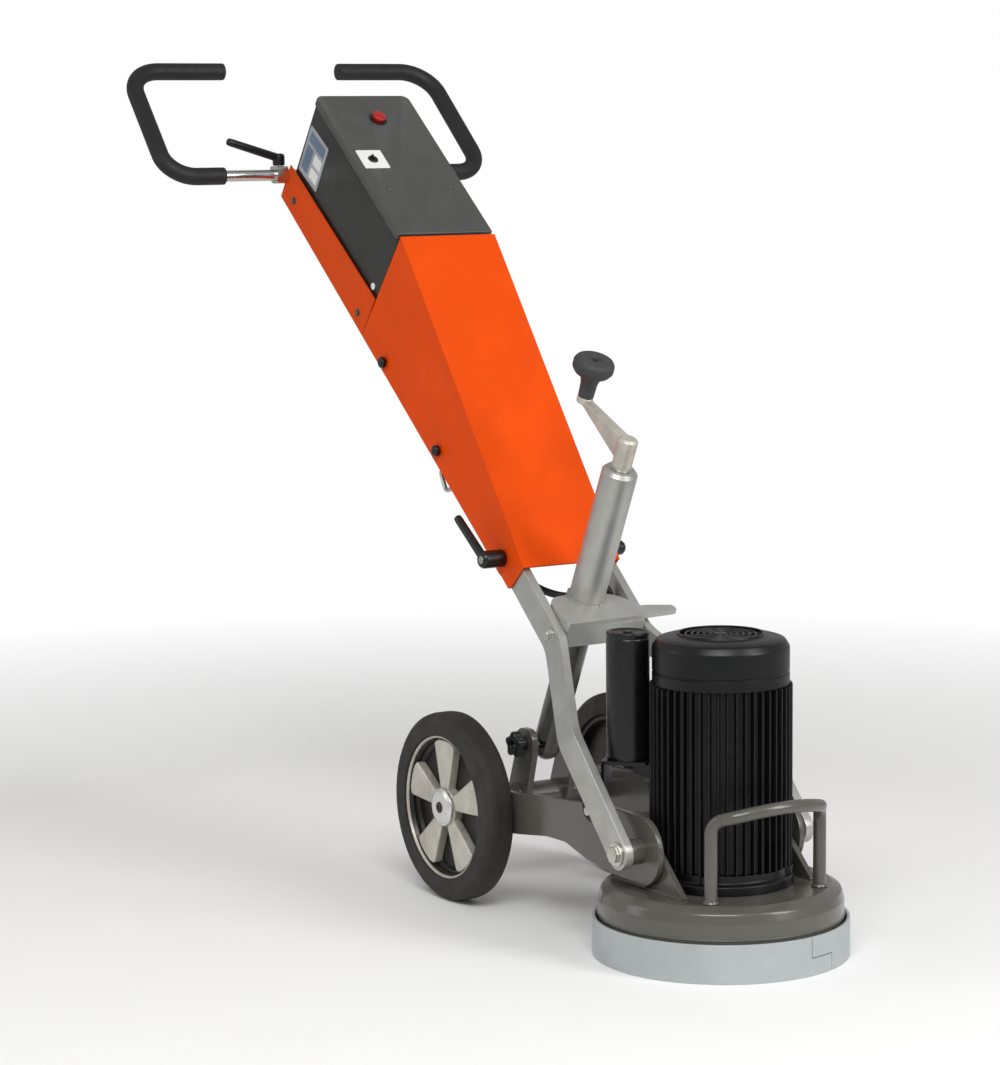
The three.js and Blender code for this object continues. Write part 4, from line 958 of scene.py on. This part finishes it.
def mast():
    keep("mast_channel", mast_steel, 0.7)
    keep("lower_cover", orange, 1.6, 3)
    keep("upper_tray", orange, 0.8, 2)
    keep("control_box", grey_box, 0.9, 2)
    keep("contactor", black_plastic, 1.5)

    edge = LID_HALF - 0.2
    outline = rounded([(0.4, -edge, 12), (LID_LENGTH, -edge, 2), (LID_LENGTH, edge, 2), (0.4, edge, 12)])
    holes = [circle(*LID_BUTTON, 9, 40), circle(*LID_SWITCH, 5.6, 32)]
    parts = [(on_lid(plate(outline, -11, 0, holes=holes, bevel=2.2, plane="z", steps=4)), grey_lid)]
    piece("lid", parts, "box_lid")

    bezel = turned([(10.8, -0.5), (13.6, -0.5), (13.2, 0.9, 0.4), (11.2, 1.4, 0.4), (10.8, 0)],
                   (*LID_BUTTON, 0), UP, 40)
    extras = [(on_lid(bezel), black_plastic)]
    tile = rounded([(124, -65, 2.5), (163, -65, 2.5), (163, -25, 2.5), (124, -25, 2.5)])
    extras.append((on_lid(plate(tile, 0.05, 1.2, holes=[circle(*LID_SWITCH, 7.4, 32)], bevel=0.4,
                                plane="z")), white_label))
    for a, b in ((207, -46), (205, 52)):
        screw = turned([(0, -0.4), (3.4, -0.4), (3.2, 0.9, 0.8), (1.4, 1.5, 0.3), (1.2, 0.8), (0, 0.8)],
                       (a, b, 0), UP, 24)
        extras.append((on_lid(screw), dark_steel))
    piece("lid_trim", extras, rides="mast")

    button = turned([(0, -10), (8.4, -10), (8.4, 3.9), (10.2, 4.1, 0.8), (10.3, 7.2, 1.6), (6, 8.8, 5),
                     (0, 8.9)], (*LID_BUTTON, 0), UP, 40)
    piece("red_stop", [(on_lid(button), red)], "stop_button")
    a, b = LID_SWITCH
    dial = turned([(0, -10), (5, -10), (5, 0.6), (6.9, 0.8, 0.4), (6.9, 2.4, 0.6), (6, 3, 0.6), (0, 3)],
                  (a, b, 0), UP, 40)
    grip = plate(rounded([(a - 6, b - 1.5, 1), (a + 6, b - 1.5, 1), (a + 6, b + 1.5, 1),
                          (a - 6, b + 1.5, 1)]), 2.4, 5.8,
                 bevel=0.5, plane="z")
    piece("selector", [(on_lid(dial), black_plastic), (on_lid(grip), black_plastic)], "rotary_switch")

    for k, (x, z) in enumerate(COVER_SCREWS, 1):
        shapes = [crosswise([(0, -77), (4, -77), (4, 77), (0, 77)], x, z, 1, 20)]
        for _, side in SIDES:
            knob = [(0, HALF + GAP), (5, HALF + GAP), (5, HALF + 2), (7.6, HALF + 2, 0.8),
                    (8, HALF + 7.4, 1.8), (5, HALF + 8.9, 1.5),
                    (0, HALF + 8.9)]
            shapes.append(crosswise(knob, x, z, side, 32))
        piece(f"cover_knobs_{k}", [(s, black_plastic) for s in shapes], f"cover_screw_{k}")
    hook = bends([(-140, -55, 571), (-157, -55, 549, 8), (-143, -55, 525, 8), (-112, -55, 536)])
    piece("cable_hanger", [(tube(hook, 3, 16, 1), zinc)], "cable_hook")

    trim = []
    for _, side in SIDES:
        for x, z in TRAY_BOLTS:
            for shape in hex_bolt(x, z, side, HALF + 0.1, 4.2, 3.2, 0.8):
                trim.append((shape, dark_steel))
        latch = crosswise([(0, 70), (5, 70), (5, 71.2, 0.4), (3.4, 71.6, 0.3), (0, 71.6)], *LATCH, side, 28)
        trim.append((latch, white_label))
    piece("tray_bolts", trim, rides="mast")

    label = [(plate(rounded([(*p, 3) for p in LABEL]), -70.5, -70.05, bevel=0.15), label_grey)]

    def inner_field(low, high, left, right):
        a, b, c, d = (Vector(p) for p in LABEL)
        rows = [a.lerp(d, low), a.lerp(d, high)], [b.lerp(c, low), b.lerp(c, high)]
        return [rows[0][0].lerp(rows[1][0], left), rows[0][0].lerp(rows[1][0], right),
                rows[0][1].lerp(rows[1][1], right), rows[0][1].lerp(rows[1][1], left)]

    for low, high, left, right, material in (
        (0.08, 0.3, 0.1, 0.9, label_blue), (0.38, 0.9, 0.1, 0.42, label_blue),
        (0.38, 0.6, 0.52, 0.9, white_label), (0.68, 0.9, 0.52, 0.9, white_label),
    ):
        label.append((plate([tuple(p) for p in inner_field(low, high, left, right)], -70.7, -70.3,
                            bevel=0.1), material))
    piece("rating_panel", label, rides="mast")


# ---------------------------------------------------------------- clamps and handlebar
def clamp_lever(radius, height, length, lift):
    """A ratchet lever: hub, screw head, and an arm of nearly even thickness with a rounded tip."""
    low = height - 6
    hub = turned([(0, 0.2), (radius - 1, 0.2, 0.8), (radius - 0.2, 3, 2), (radius - 0.2, height - 4, 3),
                  (radius - 2.5, height - 0.4, 2), (0, height - 0.4)], (0, 0, 0), UP, 48)
    cap = turned([(0, height - 1), (radius * 0.45, height - 1), (radius * 0.45, height, 0.5), (0, height)],
                 (0, 0, 0), UP, 28)
    start, end = Vector((3, 0, low)), Vector((length, 0, low + lift))
    size = (end - start).length
    grip = [(0, 0), (6, 0, 1), (6, 14, 20), (5.7, size - 8, 20), (5.2, size - 1.6, 2), (3, size - 0.4, 1.5),
            (0, size - 0.2)]
    return hub, cap, turned(grip, start, end - start, 28)


def clamps():
    x, z = HINGE
    washer = crosswise(ring(5, 8, HALF + 1, 95.4, 1), x, z, 1, 40)
    bolt = crosswise([(0, -96), (6, -96, 1), (6, 96), (0, 96)], x, z, 1, 28)
    nut = crosswise([(0, 95.6), (9.4, 95.6, 1), (10, 100, 2), (10, 109, 3), (7, 113.3, 2), (0, 113.3)],
                    x, z, 1, 36)
    piece("fold_bolt", [(washer, zinc), (bolt, zinc), (nut, black_plastic)], "hinge_bolt")
    keep("handle_clamp", chrome, 1.2, 3)
    upright = Matrix.Rotation(pi / 2, 4, "X")
    fold = Matrix.Translation((x, -76 - GAP, z)) @ Matrix.Rotation(radians(180 + 41), 4, "Y") @ upright
    tilt = Matrix.Translation((BAR[0], -85, CLAMP_TOP + GAP)) @ Matrix.Rotation(-pi / 2 + 0.03, 4, "Z")
    for name, node, turn, sizes in (
        ("fold_lever_handle", "fold_clamp_lever", fold, (12, 34, 78, 6)),
        ("tilt_lever_handle", "handle_clamp_lever", tilt, (9, 18, 84, 24)),
    ):
        hub, cap, arm = clamp_lever(*sizes)
        piece(name, [(moved(hub, turn), black_plastic), (moved(arm, turn), black_plastic),
                     (moved(cap, turn), zinc)], node)


def loop(y, rise, *bend):
    return (BAR[0] - rise * sqrt(0.5), y, BAR[1] + rise * sqrt(0.5), *bend)


def handlebar():
    half = HANDLE_HALF
    route = bends([
        loop(-GRIP_END_Y - 2, HANDLE_RISE), loop(-half + 6, HANDLE_RISE, 50), loop(-half - 4, 0, 42),
        loop(half + 4, 0, 42),
        loop(half - 6, HANDLE_RISE, 50), loop(GRIP_END_Y + 2, HANDLE_RISE),
    ])
    piece("bar", [(tube(route, TUBE_R, 28), chrome)], "handle_tube")
    for word, s in SIDES:
        cover = bends([
            loop(s * GRIP_END_Y, HANDLE_RISE), loop(s * (half - 6), HANDLE_RISE, 50),
            loop(s * (half + 4), 0, 42), loop(s * GRIP_LOW_Y, 0),
        ])
        piece(f"{word}_foam", [(tube(cover, GRIP_R - 0.5, 32, 3.5), foam)], f"grip_{word}", angle=60)


def cable():
    anchors = [
        (4, -26, 452), (8, -25, 430), (22, -18, 412), (44, -2, 402), (62, 14, 400), (77, 30, 405),
        (89, 45, 415),
        (94, 53, 403), (92, 52, 384), (97, 48, 362), (116, 43, 336), (150, 36, 314), (200, 24, 300),
        (250, 8, 298),
        (290, 0, 295.3),
    ]
    at = [Vector(p) for p in anchors]
    at = [at[0] * 2 - at[1]] + at + [at[-1] * 2 - at[-2]]
    points = []
    for i in range(1, len(at) - 2):
        for k in range(6):
            t = k / 6
            p0, p1, p2, p3 = at[i - 1:i + 3]
            points.append(0.5 * (p1 * 2 + (p2 - p0) * t + (p0 * 2 - p1 * 5 + p2 * 4 - p3) * t ** 2
                                 + (p1 * 3 - p0 - p2 * 3 + p3) * t ** 3))
    points.append(at[-2])
    piece("motor_lead", [(tube(points, 5, 18), cable_black)], "motor_cable", angle=60)


wheels()
axle()
chassis()
head()
motor()
arms()
jack()
mast()
clamps()
handlebar()
cable()


# ---------------------------------------------------------------- floor, light and camera
def floor():
    mesh = bpy.data.meshes.new("floor")
    size = 30.0
    mesh.from_pydata([(-size, -size, 0), (size, -size, 0), (size, size, 0), (-size, size, 0)], [],
                     [(0, 1, 2, 3)])
    obj = bpy.data.objects.new("floor", mesh)
    bpy.context.scene.collection.objects.link(obj)
    made = Shader("pale floor", "F7F7F6", 0.8).colours(3, 0.008).gloss(5, 0.04)
    # the floor thins out with distance, so that it ends in the white background
    distance = made.tree.nodes.new("ShaderNodeVectorMath")
    distance.operation = "LENGTH"
    made.link(made.place, distance.inputs[0])
    made.link(made.ranged(distance.outputs["Value"], 1, 0, 0.9, 2.4), made.shader.inputs["Alpha"])
    obj.data.materials.append(made.material)


def area_light(name, place, target, size, power):
    data = bpy.data.lights.new(name, "AREA")
    data.shape = "RECTANGLE"
    data.size, data.size_y = size
    data.energy = power
    obj = bpy.data.objects.new(name, data)
    bpy.context.scene.collection.objects.link(obj)
    obj.location = place
    obj.rotation_euler = (Vector(target) - Vector(place)).to_track_quat("-Z", "Y").to_euler()


def lights():
    world = bpy.data.worlds.new("studio")
    bpy.context.scene.world = world
    world.use_nodes = True
    tree = world.node_tree
    background = tree.nodes["Background"]
    background.inputs["Color"].default_value = (1, 1, 1, 1)
    # the backdrop is white, but lights the machine with less than that
    strength = tree.nodes.new("ShaderNodeMapRange")
    strength.inputs["To Min"].default_value = 0.42
    strength.inputs["To Max"].default_value = 1.0
    tree.links.new(tree.nodes.new("ShaderNodeLightPath").outputs["Is Camera Ray"], strength.inputs["Value"])
    tree.links.new(strength.outputs["Result"], background.inputs["Strength"])
    target = (0.05, 0, 0.45)
    area_light("key", (2.6, -1.7, 3.0), target, (2.2, 1.4), 80)
    area_light("rim", (3.2, 1.4, 2.2), target, (1.2, 2.4), 60)
    area_light("side", (-1.6, -3.2, 1.6), target, (1.2, 2.4), 15)
    bpy.context.scene.view_settings.view_transform = "Standard"


def camera():
    azimuth, elevation, roll = radians(58.455), radians(7.230), radians(-0.494)
    distance, target = 4.35284, Vector((-0.02288, 0, 0.46959))
    back = Vector((sin(azimuth) * cos(elevation), -cos(azimuth) * cos(elevation), sin(elevation)))
    data = bpy.data.cameras.new("camera")
    data.sensor_width = 36
    data.sensor_fit = "AUTO"
    data.lens = 108.49
    obj = bpy.data.objects.new("camera", data)
    bpy.context.scene.collection.objects.link(obj)
    obj.location = target + back * distance
    turn = back.to_track_quat("Z", "Y")
    obj.rotation_euler = (turn.to_matrix() @ Matrix.Rotation(roll, 3, "Z")).to_euler()
    bpy.context.scene.camera = obj


floor()
lights()
camera()
